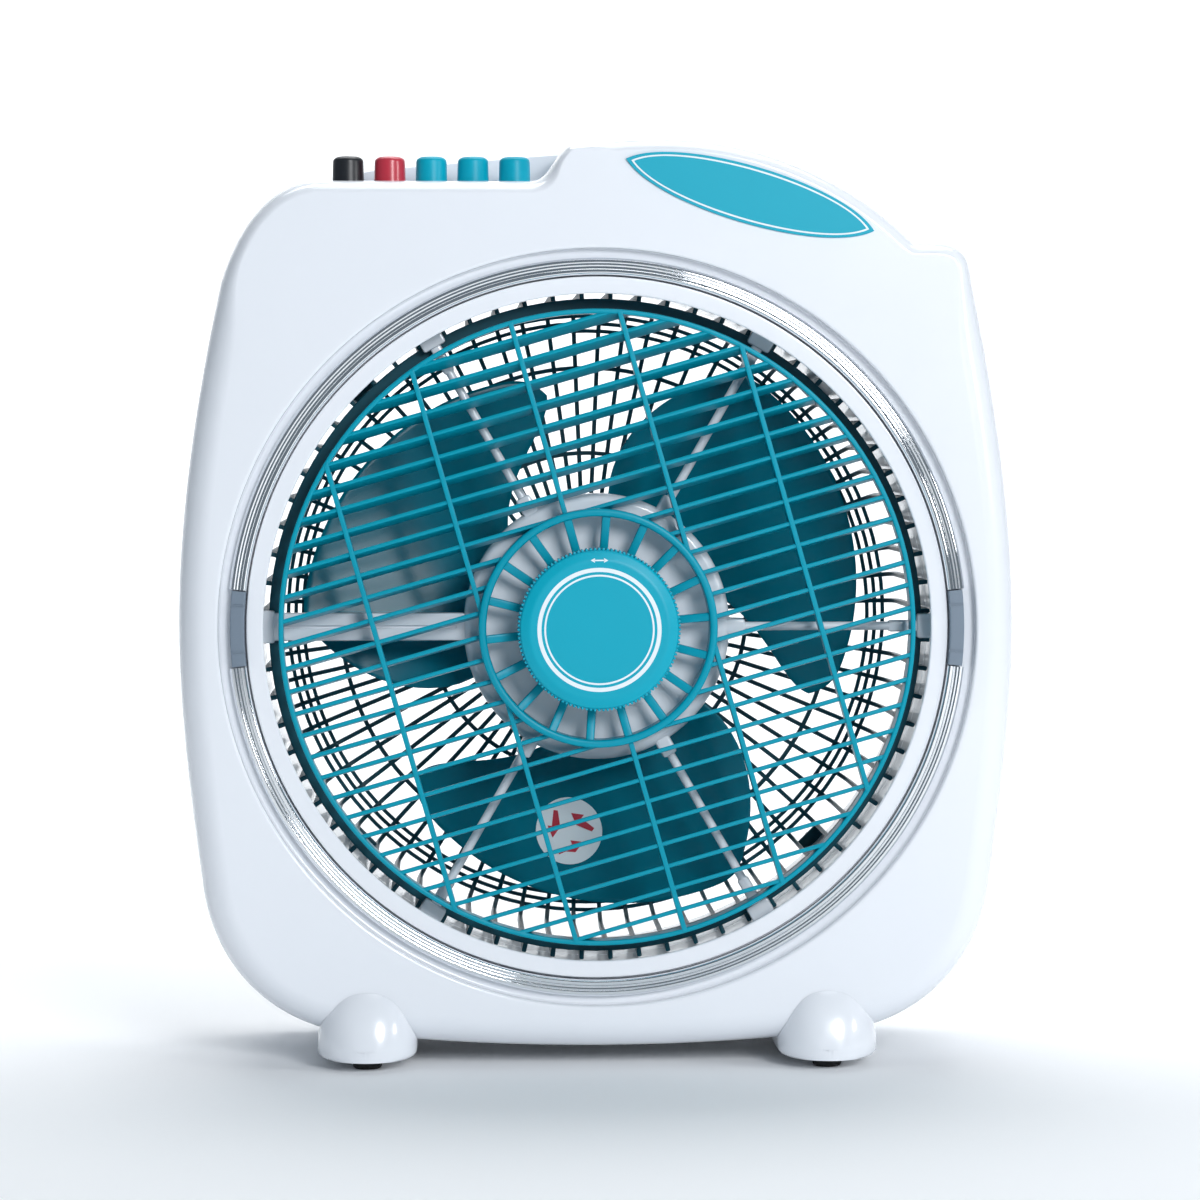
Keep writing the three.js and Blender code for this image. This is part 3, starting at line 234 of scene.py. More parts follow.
def lathe(name, profile, radius=0.5 * MM, sides=64, steps=3):
    """Turn a profile of (radius, y) about the Y axis, with rounded corners. It is closed, or ends on
    the axis."""
    on_axis = profile[0][0] == 0 and profile[-1][0] == 0
    line = rounded(profile, radius, steps, ends_fixed=on_axis)
    return loft(name, [circle(r, y, sides) for r, y in line], ring=not on_axis)


def band(inside, outside, front, back):
    """The profile of a plain ring."""
    return [(inside, front), (outside, front), (outside, back), (inside, back)]


def disc(radius, front, back):
    """The profile of a plain disc."""
    return [(0, front), (radius, front), (radius, back), (0, back)]


def arc(name, profile, start, end, steps):
    """Sweep a profile of (radius, y) about the Y axis from one angle to another, with closed ends."""
    loops = []
    for k in range(steps + 1):
        angle = start + (end - start) * k / steps
        loops.append([Vector((r * math.cos(angle), y, r * math.sin(angle))) for r, y in profile])
    return loft(name, loops)


def slab(name, outline, front, back, edge=0.5 * MM, steps=3):
    """An (x, z) outline made solid from front to back, with both edges rounded."""
    loops = []
    for k in range(steps + 1):
        turn = math.pi / 2 * k / steps
        loops.append([edge * (1 - math.sin(turn)), front + edge * (1 - math.cos(turn))])
    loops += [[d, front + back - y] for d, y in reversed(loops)]
    return loft(name, [[Vector((x, y, z)) for x, z in inset(outline, d)] for d, y in loops])


def box(name, low, high, edge=0.5 * MM):
    """A block between two corners, with its edges rounded."""
    low = Vector(low)
    high = Vector(high)
    obj = mesh_object(name, [(x, y, z) for x in (low.x, high.x) for y in (low.y, high.y)
                             for z in (low.z, high.z)],
                      [(0, 1, 3, 2), (4, 6, 7, 5), (0, 4, 5, 1), (2, 3, 7, 6), (0, 2, 6, 4), (1, 5, 7, 3)])
    return bevelled(obj, edge)


def rounded_rectangle(x, z, width, height, radius, steps=6):
    """An (x, z) outline, anticlockwise."""
    corners = [(x - width / 2, z - height / 2), (x + width / 2, z - height / 2),
               (x + width / 2, z + height / 2), (x - width / 2, z + height / 2)]
    return rounded(corners, radius, steps)


def inset(outline, distance):
    """Move a closed anticlockwise outline inwards by one distance, or by one for each point."""
    points = np.array([tuple(p) for p in outline], float)
    along = np.roll(points, -1, axis=0) - np.roll(points, 1, axis=0)
    along /= np.linalg.norm(along, axis=1)[:, None]
    inward = np.stack([-along[:, 1], along[:, 0]], axis=1)
    return points + inward * np.broadcast_to(np.asarray(distance, float), len(points))[:, None]


def applied(obj):
    """Turn an object's modifiers into its mesh."""
    depsgraph = bpy.context.evaluated_depsgraph_get()
    mesh = bpy.data.meshes.new_from_object(obj.evaluated_get(depsgraph))
    obj.modifiers.clear()
    obj.data = mesh
    return obj


def bevelled(obj, width, steps=2, angle=40):
    """Round the edges of an object that turn by more than an angle in degrees."""
    bevel = obj.modifiers.new("bevel", "BEVEL")
    bevel.width = width
    bevel.segments = steps
    bevel.limit_method = "ANGLE"
    bevel.angle_limit = math.radians(angle)
    return applied(obj)


def boolean(obj, operation, *tools):
    """Join or cut an object with closed tools, which are used up."""
    for tool in tools:
        step = obj.modifiers.new("boolean", "BOOLEAN")
        step.operation = operation
        step.solver = "MANIFOLD"
        step.object = tool
        applied(obj)
        bpy.data.objects.remove(tool)
    return obj


def union(obj, *tools):
    return boolean(obj, "UNION", *tools)


def cut(obj, *tools):
    return boolean(obj, "DIFFERENCE", *tools)


def moved(obj, matrix):
    """Move an object's mesh and leave its origin where it is."""
    obj.data.transform(matrix)
    return obj


def on_axis(obj):
    """Move a mesh built about the origin onto the fan axis."""
    return moved(obj, TO_AXIS)


def across_from(low, high):
    """The move that takes the origin's Y axis through the middle of a box."""
    return Matrix.Translation(((low.x + high.x) / 2, 0, (low.z + high.z) / 2))


def turned_about_axis(obj, angle):
    """Turn a mesh anticlockwise about the fan axis, as seen from the front."""
    return moved(obj, Matrix.Rotation(-angle, 4, "Y"))


def upright(obj, x, y, z=0):
    """Stand a lathed mesh up, so that its y runs along Z, at a place."""
    return moved(obj, Matrix.Translation((x, y, z)) @ Matrix.Rotation(math.pi / 2, 4, "X"))


def merged(name, objects):
    """One object that holds the meshes of several, which are used up."""
    skin = bmesh.new()
    for obj in objects:
        skin.from_mesh(obj.data)
        bpy.data.objects.remove(obj)
    mesh = bpy.data.meshes.new(name)
    skin.to_mesh(mesh)
    skin.free()
    whole = bpy.data.objects.new(name, mesh)
    bpy.context.scene.collection.objects.link(whole)
    return whole


def copied(name, node, edge):
    """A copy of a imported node's mesh, with its loose corners merged and its edges rounded."""
    skin = bmesh.new()
    skin.from_mesh(frame["nodes"][node].data)
    bmesh.ops.remove_doubles(skin, verts=skin.verts, dist=1e-6)
    bmesh.ops.dissolve_limit(skin, angle_limit=math.radians(1), verts=skin.verts, edges=skin.edges)
    mesh = bpy.data.meshes.new(name)
    skin.to_mesh(mesh)
    skin.free()
    obj = bpy.data.objects.new(name, mesh)
    bpy.context.scene.collection.objects.link(obj)
    return bevelled(obj, edge)


def finished(obj, material, body, *nodes, slot=None, crease=32):
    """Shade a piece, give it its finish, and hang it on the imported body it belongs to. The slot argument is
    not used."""
    skin = bmesh.new()
    skin.from_mesh(obj.data)
    bmesh.ops.remove_doubles(skin, verts=skin.verts, dist=2e-7)
    bmesh.ops.dissolve_degenerate(skin, edges=skin.edges, dist=1e-7)
    skin.to_mesh(obj.data)
    skin.free()
    obj.data.shade_smooth()
    obj.data.set_sharp_from_angle(angle=math.radians(crease))
    weigh = obj.modifiers.new("weigh", "WEIGHTED_NORMAL")
    weigh.keep_sharp = True
    applied(obj)
    obj.data.materials.clear()
    obj.data.materials.append(material)
    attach(obj, body)
    if nodes:
        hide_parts(*nodes)
    return obj


# ---------------------------------------------------------------------------
# Node trees that repeat a shape
# ---------------------------------------------------------------------------

def new_tree(name, sockets):
    """An empty geometry tree with a geometry input and output, and named inputs."""
    tree = bpy.data.node_groups.new(name, "GeometryNodeTree")
    tree.interface.new_socket("Geometry", in_out="OUTPUT", socket_type="NodeSocketGeometry")
    tree.interface.new_socket("Geometry", in_out="INPUT", socket_type="NodeSocketGeometry")
    for label, kind in sockets:
        tree.interface.new_socket(label, in_out="INPUT", socket_type="NodeSocket" + kind)
    return tree


def add_node(tree, kind, links=(), **settings):
    """Add a node, set it up, and feed its inputs: each link is an input and a socket or a value."""
    node = tree.nodes.new(kind)
    for key, value in settings.items():
        setattr(node, key, value)
    for label, source in links:
        if isinstance(source, bpy.types.NodeSocket):
            tree.links.new(source, node.inputs[label])
        else:
            node.inputs[label].default_value = source
    return node


def maths(tree, operation, *values):
    """The result of one sum on sockets or numbers."""
    node = add_node(tree, "ShaderNodeMath", enumerate(values), operation=operation)
    return node.outputs[0]


def close_tree(tree, instances, material):
    """Realize the instances, set their material, and feed the output."""
    real = add_node(tree, "GeometryNodeRealizeInstances", [("Geometry", instances)])
    painted = add_node(tree, "GeometryNodeSetMaterial",
                       [("Geometry", real.outputs[0]), ("Material", material)])
    end = tree.nodes.new("NodeGroupOutput")
    tree.links.new(painted.outputs[0], end.inputs[0])
    return tree


@functools.cache
def polar_tree():
    """Copies of a shape turned about the Y axis, one of which may be skipped."""
    tree = new_tree("polar_array", [("Count", "Int"), ("Start", "Float"), ("Skip", "Int"),
                                    ("Material", "Material")])
    given = tree.nodes.new("NodeGroupInput").outputs
    points = add_node(tree, "GeometryNodePoints", [("Count", given["Count"])])
    index = tree.nodes.new("GeometryNodeInputIndex").outputs[0]
    step = maths(tree, "DIVIDE", TAU, given["Count"])
    angle = maths(tree, "MULTIPLY_ADD", index, step, given["Start"])
    turn = add_node(tree, "FunctionNodeAxisAngleToRotation",
                    [("Axis", (0, 1, 0)), ("Angle", maths(tree, "MULTIPLY", angle, -1.0))])
    keep = add_node(tree, "FunctionNodeCompare", data_type="INT", operation="NOT_EQUAL")
    tree.links.new(index, keep.inputs[2])
    tree.links.new(given["Skip"], keep.inputs[3])
    copies = add_node(tree, "GeometryNodeInstanceOnPoints",
                      [("Points", points.outputs[0]), ("Selection", keep.outputs[0]),
                       ("Instance", given["Geometry"]), ("Rotation", turn.outputs[0])])
    return close_tree(tree, copies.outputs[0], given["Material"])


@functools.cache
def row_tree():
    """Copies of a shape in a row along X, about the middle."""
    tree = new_tree("row", [("Count", "Int"), ("Pitch", "Float"), ("Material", "Material")])
    given = tree.nodes.new("NodeGroupInput").outputs
    points = add_node(tree, "GeometryNodePoints", [("Count", given["Count"])])
    index = tree.nodes.new("GeometryNodeInputIndex").outputs[0]
    last = maths(tree, "SUBTRACT", given["Count"], 1.0)
    place = maths(tree, "MULTIPLY_ADD", last, -0.5, index)
    offset = add_node(tree, "ShaderNodeCombineXYZ", [("X", maths(tree, "MULTIPLY", place, given["Pitch"]))])
    spread = add_node(tree, "GeometryNodeSetPosition",
                      [("Geometry", points.outputs[0]), ("Position", offset.outputs[0])])
    copies = add_node(tree, "GeometryNodeInstanceOnPoints",
                      [("Points", spread.outputs[0]), ("Instance", given["Geometry"])])
    return close_tree(tree, copies.outputs[0], given["Material"])


@functools.cache
def slat_tree():
    """Slats across a round louvre: each is as long as its chord, and they lean more towards the top."""
    tree = new_tree("slats", [("Count", "Int"), ("Pitch", "Float"), ("Radius", "Float"),
                              ("Lean Low", "Float"), ("Lean Top", "Float"), ("Material", "Material")])
    given = tree.nodes.new("NodeGroupInput").outputs
    points = add_node(tree, "GeometryNodePoints", [("Count", given["Count"])])
    index = tree.nodes.new("GeometryNodeInputIndex").outputs[0]
    last = maths(tree, "SUBTRACT", given["Count"], 1.0)
    height = maths(tree, "MULTIPLY", maths(tree, "MULTIPLY_ADD", last, -0.5, index), given["Pitch"])
    place = add_node(tree, "ShaderNodeCombineXYZ", [("Z", height)])
    spread = add_node(tree, "GeometryNodeSetPosition",
                      [("Geometry", points.outputs[0]), ("Position", place.outputs[0])])
    rise = maths(tree, "DIVIDE", maths(tree, "MAXIMUM", height, 0.0), given["Radius"])
    more = maths(tree, "SUBTRACT", given["Lean Top"], given["Lean Low"])
    lean = maths(tree, "MULTIPLY_ADD", rise, more, given["Lean Low"])
    turn = add_node(tree, "FunctionNodeAxisAngleToRotation",
                    [("Axis", (1, 0, 0)), ("Angle", maths(tree, "MULTIPLY", lean, -1.0))])
    half_pitch = maths(tree, "MULTIPLY", given["Pitch"], 0.5)
    inner = maths(tree, "MAXIMUM", maths(tree, "SUBTRACT", maths(tree, "ABSOLUTE", height), half_pitch), 0.0)
    square = maths(tree, "MULTIPLY", given["Radius"], given["Radius"])
    half = maths(tree, "SQRT", maths(tree, "SUBTRACT", square, maths(tree, "MULTIPLY", inner, inner)))
    size = add_node(tree, "ShaderNodeCombineXYZ",
                    [("X", maths(tree, "MULTIPLY", half, 2.0)), ("Y", 1.0), ("Z", 1.0)])
    copies = add_node(tree, "GeometryNodeInstanceOnPoints",
                      [("Points", spread.outputs[0]), ("Instance", given["Geometry"]),
                       ("Rotation", turn.outputs[0]), ("Scale", size.outputs[0])])
    return close_tree(tree, copies.outputs[0], given["Material"])


@functools.cache
def placed_tree():
    """A template object copied to every point of a mesh."""
    tree = new_tree("placed", [("Template", "Object"), ("Material", "Material")])
    given = tree.nodes.new("NodeGroupInput").outputs
    shape = add_node(tree, "GeometryNodeObjectInfo", [("Object", given["Template"])])
    copies = add_node(tree, "GeometryNodeInstanceOnPoints",
                      [("Points", given["Geometry"]), ("Instance", shape.outputs["Geometry"])])
    return close_tree(tree, copies.outputs[0], given["Material"])


def run_tree(obj, tree, **values):
    """Run a tree on an object and keep the result as its mesh. Names use _ for a space."""
    step = obj.modifiers.new(tree.name, "NODES")
    step.node_group = tree
    for item in tree.interface.items_tree:
        key = item.name.replace(" ", "_").lower()
        if key in values:
            step[item.identifier] = values[key]
    return applied(obj)


def polar(obj, count, material, start=0.0, skip=-1):
    return run_tree(obj, polar_tree(), count=count, start=start, skip=skip, material=material)


# ---------------------------------------------------------------------------
# Finishes
# ---------------------------------------------------------------------------

def shade(colour, factor):
    return (*[min(1.0, c * factor) for c in colour], 1.0)


def surface(name, colour, roughness, spread=0.04, drift=0.03, relief=0.01 * MM, grain=350.0,
            metallic=0.0, coat=0.0, alpha=1.0, specular=0.5, pattern=None):
    """A finish whose colour drifts slowly, whose gloss is uneven, and whose fine relief breaks
    reflections. A pattern adds bands: (direction, bands per metre, depth, darkening)."""
    material = bpy.data.materials.new(name)
    material.use_nodes = True
    tree = material.node_tree
    shader = tree.nodes["Principled BSDF"]
    place = tree.nodes.new("ShaderNodeTexCoord").outputs["Object"]
    slow = add_node(tree, "ShaderNodeTexNoise", [("Vector", place), ("Scale", 11.0), ("Detail", 3.0)])
    tint = add_node(tree, "ShaderNodeMix", data_type="RGBA")
    tree.links.new(slow.outputs["Fac"], tint.inputs["Factor"])
    tint.inputs[6].default_value = shade(colour, 1 - drift)
    tint.inputs[7].default_value = shade(colour, 1 + drift)
    colour_out = tint.outputs[2]
    uneven = add_node(tree, "ShaderNodeTexNoise", [("Vector", place), ("Scale", 70.0), ("Detail", 4.0)])
    gloss = add_node(tree, "ShaderNodeMapRange",
                     [("Value", uneven.outputs["Fac"]), ("To Min", max(0.02, roughness - spread)),
                      ("To Max", roughness + spread)])
    tree.links.new(gloss.outputs[0], shader.inputs["Roughness"])
    fine = add_node(tree, "ShaderNodeTexNoise", [("Vector", place), ("Scale", grain), ("Detail", 2.0)])
    bump = add_node(tree, "ShaderNodeBump", [("Height", fine.outputs["Fac"]), ("Distance", relief),
                                             ("Strength", 1.0)])
    if pattern is not None:
        direction, scale, depth, darkening = pattern
        wave = add_node(tree, "ShaderNodeTexWave",
                        [("Vector", place), ("Scale", scale), ("Distortion", 0.0)],
                        wave_type="BANDS", bands_direction=direction)
        second = add_node(tree, "ShaderNodeBump",
                          [("Height", wave.outputs["Fac"]), ("Distance", depth),
                           ("Normal", bump.outputs[0])])
        dark = add_node(tree, "ShaderNodeMix", data_type="RGBA", blend_type="MULTIPLY")
        dark.inputs["Factor"].default_value = darkening
        tree.links.new(colour_out, dark.inputs[6])
        tree.links.new(wave.outputs["Color"], dark.inputs[7])
        colour_out = dark.outputs[2]
        bump = second
    tree.links.new(colour_out, shader.inputs["Base Color"])
    tree.links.new(bump.outputs[0], shader.inputs["Normal"])
    shader.inputs["Metallic"].default_value = metallic
    shader.inputs["Coat Weight"].default_value = coat
    shader.inputs["Coat Roughness"].default_value = 0.06
    shader.inputs["Alpha"].default_value = alpha
    shader.inputs["Specular IOR Level"].default_value = specular
    return material


def colours():
    return bpy.context.scene.fan_colours


@functools.cache
def white_shell():
    return surface("white_shell", colours().shell, 0.24, spread=0.03, drift=0.012, relief=0.012 * MM,
                   grain=240.0, coat=0.5)


@functools.cache
def chrome():
    return surface("chrome", (0.86, 0.88, 0.90), 0.07, spread=0.03, drift=0.02, relief=0.004 * MM,
                   grain=500.0, metallic=1.0)


@functools.cache
def clip_grey():
    return surface("clip_grey", (0.17, 0.22, 0.28), 0.38, spread=0.06)


@functools.cache
def louvre_teal():
    return surface("louvre_teal", colours().louvre, 0.34, spread=0.06, drift=0.06, specular=0.2)


@functools.cache
def knob_teal():
    return surface("knob_teal", colours().knob, 0.38, spread=0.05, drift=0.03, specular=0.28)


@functools.cache
def dark_teal():
    return surface("dark_teal", colours().grille, 0.38, spread=0.07, drift=0.08, specular=0.3)


@functools.cache
def blade_teal():
    return surface("blade_teal", colours().blade, 0.20, spread=0.04, drift=0.08, relief=0.008 * MM,
                   grain=60.0, specular=0.15, alpha=0.97)


@functools.cache
def print_white():
    return surface("print_white", (0.80, 0.88, 0.92), 0.45, drift=0.02)


@functools.cache
def steel():
    return surface("steel", (0.56, 0.57, 0.59), 0.28, spread=0.10, drift=0.06, relief=0.01 * MM,
                   grain=900.0, metallic=1.0)


@functools.cache
def lamination():
    return surface("lamination", (0.28, 0.29, 0.31), 0.45, spread=0.10, drift=0.08, metallic=0.9,
                   pattern=("Y", 320.0, 0.15 * MM, 0.55))


@functools.cache
def copper():
    return surface("copper", (0.60, 0.24, 0.10), 0.32, spread=0.08, drift=0.10, metallic=0.85,
                   pattern=("DIAGONAL", 260.0, 0.20 * MM, 0.6))


@functools.cache
def brass():
    return surface("brass", (0.70, 0.50, 0.20), 0.26, spread=0.08, drift=0.05, metallic=1.0)


@functools.cache
def bronze():
    return surface("bronze", (0.42, 0.27, 0.12), 0.42, spread=0.10, drift=0.12, metallic=0.9)


@functools.cache
def die_cast():
    return surface("die_cast", (0.50, 0.52, 0.54), 0.46, spread=0.10, drift=0.08, relief=0.06 * MM,
                   grain=700.0, metallic=0.8)


@functools.cache
def black_plastic():
    return surface("black_plastic", (0.012, 0.014, 0.018), 0.34, spread=0.08, drift=0.15)


@functools.cache
def red_plastic():
    return surface("red_plastic", colours().red, 0.30, spread=0.05, drift=0.05, coat=0.2)


@functools.cache
def rubber():
    return surface("rubber", (0.012, 0.012, 0.013), 0.80, spread=0.08, drift=0.15, relief=0.05 * MM,
                   grain=1200.0)


@functools.cache
def switch_cream():
    return surface("switch_cream", (0.62, 0.58, 0.48), 0.45, spread=0.06)


BUTTON_FINISHES = {"off": black_plastic, "swing": red_plastic}


# ---------------------------------------------------------------------------
# Body outline
# ---------------------------------------------------------------------------

class Outline:
    """A closed path of lines and curves, with a point about every 2 mm."""

    def __init__(self, x, z):
        self.points = [Vector((x, z))]

    def line(self, x, z):
        end = Vector((x, z))
        start = self.points[-1]
        count = max(1, round((end - start).length / 4))
        self.points += [start.lerp(end, (k + 1) / count) for k in range(count)]

    def curve(self, ax, az, bx, bz, x, z):
        p = [self.points[-1], Vector((ax, az)), Vector((bx, bz)), Vector((x, z))]
        length = sum((b - a).length for a, b in zip(p, p[1:]))
        count = max(4, round(length / 2))
        for k in range(1, count + 1):
            t = k / count
            s = 1 - t
            self.points.append(s ** 3 * p[0] + 3 * s * s * t * p[1] + 3 * s * t * t * p[2] + t ** 3 * p[3])

    def bend(self, cx, cz, x, z):
        start = self.points[-1]
        middle = Vector((cx, cz))
        end = Vector((x, z))
        a = start.lerp(middle, 2 / 3)
        b = end.lerp(middle, 2 / 3)
        self.curve(a.x, a.y, b.x, b.y, x, z)

    def metres(self):
        return [(p.x * MM, p.y * MM) for p in self.points[:-1]]


LEDGE_END = -124.0
LEDGE_LENGTH = 95.0
LEDGE_DROP = 19.0


def body_outline(with_ledge):
    """The barrel-sided outline, anticlockwise from the lower left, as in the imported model."""
    w = HALF_WIDTH / MM
    mid = AXIS_Z / MM + 1
    top = BODY_TOP / MM
    low = BELLY / MM
    ledge = top - LEDGE_DROP
    path = Outline(-(w - 72), low + 6.25)
    path.bend(0, low - 6.25, w - 72, low + 6.25)
    path.curve(w - 44, low + 11, w - 17, low + 31, w - 10.5, low + 69)
    path.curve(w - 7, low + 96, w, mid - 45, w, mid)
    path.curve(w, mid + 50, w - 9, top - 109, w - 19, top - 62)
    path.curve(w - 20, top - 51, w - 24, top - 45.3, w - 37, top - 45.2)
    path.line(w - 45.5, top - 45.2)
    path.curve(w - 69, top - 21, 75, top, 29, top)
    path.curve(15, top, 5, top - 0.8, -12.5, top - 3.2)
    if with_ledge:
        inner = LEDGE_END + LEDGE_LENGTH
        path.curve(-19, top - 7, inner + 8, ledge + 0.3, inner, ledge)
        path.line(LEDGE_END, ledge)
    else:
        path.curve(-45, top - 6, -75, top - 8.5, -100, top - 11)
        path.bend(-112, top - 13, LEDGE_END, ledge)
    path.curve(LEDGE_END - 21, ledge - 2, -(w - 26), top - 41, -(w - 19), top - 64)
    path.curve(-(w - 9), top - 109, -w, mid + 50, -w, mid)
    path.curve(-w, mid - 45, -(w - 7), low + 96, -(w - 10.5), low + 69)
    path.curve(-(w - 17), low + 31, -(w - 44), low + 11, -(w - 72), low + 6.25)
    return np.array(path.metres())


def loop_at(points, y):
    return [Vector((x, y, z)) for x, z in points]


def circle_along(points, radius, y):
    """A circle about the fan axis with one point in line with each outline point."""
    angles = np.arctan2(points[:, 1] - AXIS_Z, points[:, 0])
    return [Vector((radius * math.cos(a), y, AXIS_Z + radius * math.sin(a))) for a in angles]


def same_angles(outline, like):
    """An outline's points at the angles of another one's, about the fan axis."""
    angles = np.arctan2(outline[:, 1] - AXIS_Z, outline[:, 0])
    radii = np.hypot(outline[:, 1] - AXIS_Z, outline[:, 0])
    wanted = np.arctan2(like[:, 1] - AXIS_Z, like[:, 0])
    r = np.interp(wanted, angles, radii, period=TAU)
    return np.stack([r * np.cos(wanted), AXIS_Z + r * np.sin(wanted)], axis=1)


def edge_reach(points, most):
    """How far the edge rounding reaches inwards at each point: less at the tight curves on top."""
    least = 6.5 * MM
    start = BODY_TOP - 95 * MM
    share = np.clip((points[:, 1] - start) / (45 * MM), 0, 1)
    reach = most + (least - most) * share * share * (3 - 2 * share)
    along = np.roll(points, -1, axis=0) - points
    for _ in range(80):
        moved_in = inset(points, reach)
        now = np.roll(moved_in, -1, axis=0) - moved_in
        folded = (along * now).sum(axis=1) < 0.2 * (along * along).sum(axis=1)
        if not folded.any():
            break
        near = sum(np.roll(folded, k) for k in range(-6, 8)) > 0
        reach = np.where(near, reach * 0.92, reach)
        reach = (np.roll(reach, 1) + reach + np.roll(reach, -1)) / 3
    return reach


def edge_loops(points, face, depth, reach, steps=10):
    """Loops over a rounded edge, from the side wall to a flat face. Depth is signed away from it."""
    loops = []
    for k in range(steps + 1):
        turn = math.pi / 2 * k / steps
        y = face + depth * (1 - math.sin(turn))
        loops.append(loop_at(inset(points, reach * (1 - math.cos(turn))), y))
    return loops


# ---------------------------------------------------------------------------
# Housings, duct and trim
# ---------------------------------------------------------------------------

RECESS_FLOOR = TRIM_BACK + GAP
SCREW_PLACES = [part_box(f"housing_screw_{i}") for i in range(1, 7)]
EAR_PLACES = [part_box(f"grille_screw_{i}") for i in range(1, 5)]


class FAN_OT_front_housing(bpy.types.Operator):
    """Front shell: rounded face with the recess for the chrome ring, and five button holes"""

    bl_idname = "fan.front_housing"
    bl_label = "Front housing"

    def execute(self, context):
        sizes = context.scene.fan_sizes
        wall = sizes.wall
        outline = body_outline(with_ledge=True)
        recess = TRIM_INSIDE + TRIM_WIDTH + sizes.recess_margin
        hole = DUCT_OUTSIDE + GAP
        reach = edge_reach(outline, sizes.edge_inset)
        outer = edge_loops(outline, FACE, sizes.edge_depth, reach)
        inner = edge_loops(inset(outline, wall), FACE + wall, sizes.edge_depth - wall, reach - wall)
        face = rounded([(recess + 3 * MM, FACE), (recess, FACE), (recess, RECESS_FLOOR), (hole, RECESS_FLOOR),
                        (hole, RECESS_FLOOR + wall), (recess + wall, RECESS_FLOOR + wall),
                        (recess + wall, FACE + wall)], 1.6 * MM, 4, ends_fixed=True)
        loops = [loop_at(inset(outline, 0.5 * MM), PARTING), loop_at(outline, PARTING - 0.6 * MM)]
        loops += outer
        loops += [circle_along(outline, r, y) for r, y in face]
        loops += list(reversed(inner))
        loops.append(loop_at(inset(outline, wall), PARTING))
        shell = loft("front_shell", loops, ring=True)
        for label in BUTTONS:
            low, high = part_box(f"button_{label}")
            hole_radius = (high.x - low.x) / 2 + 0.6 * MM
            tool = lathe("tool", disc(hole_radius, 0, 24 * MM), sides=48)
            cut(shell, upright(tool, (low.x + high.x) / 2, (low.y + high.y) / 2, low.z - 8 * MM))
        for low, high in SCREW_PLACES:
            place = across_from(low, high)
            under_recess = math.hypot(place.translation.x, place.translation.z - AXIS_Z) < recess + 6 * MM
            start = RECESS_FLOOR + 1 * MM if under_recess else FACE + 1 * MM
            boss = lathe("boss", disc(5 * MM, start, PARTING), sides=24)
            pilot = lathe("pilot", disc(PILOT, PARTING - 18 * MM, PARTING + 1 * MM), sides=16)
            union(shell, moved(boss, place))
            cut(shell, moved(pilot, place))
        finished(shell, white_shell(), "cabinet", "front_housing")
        return {"FINISHED"}


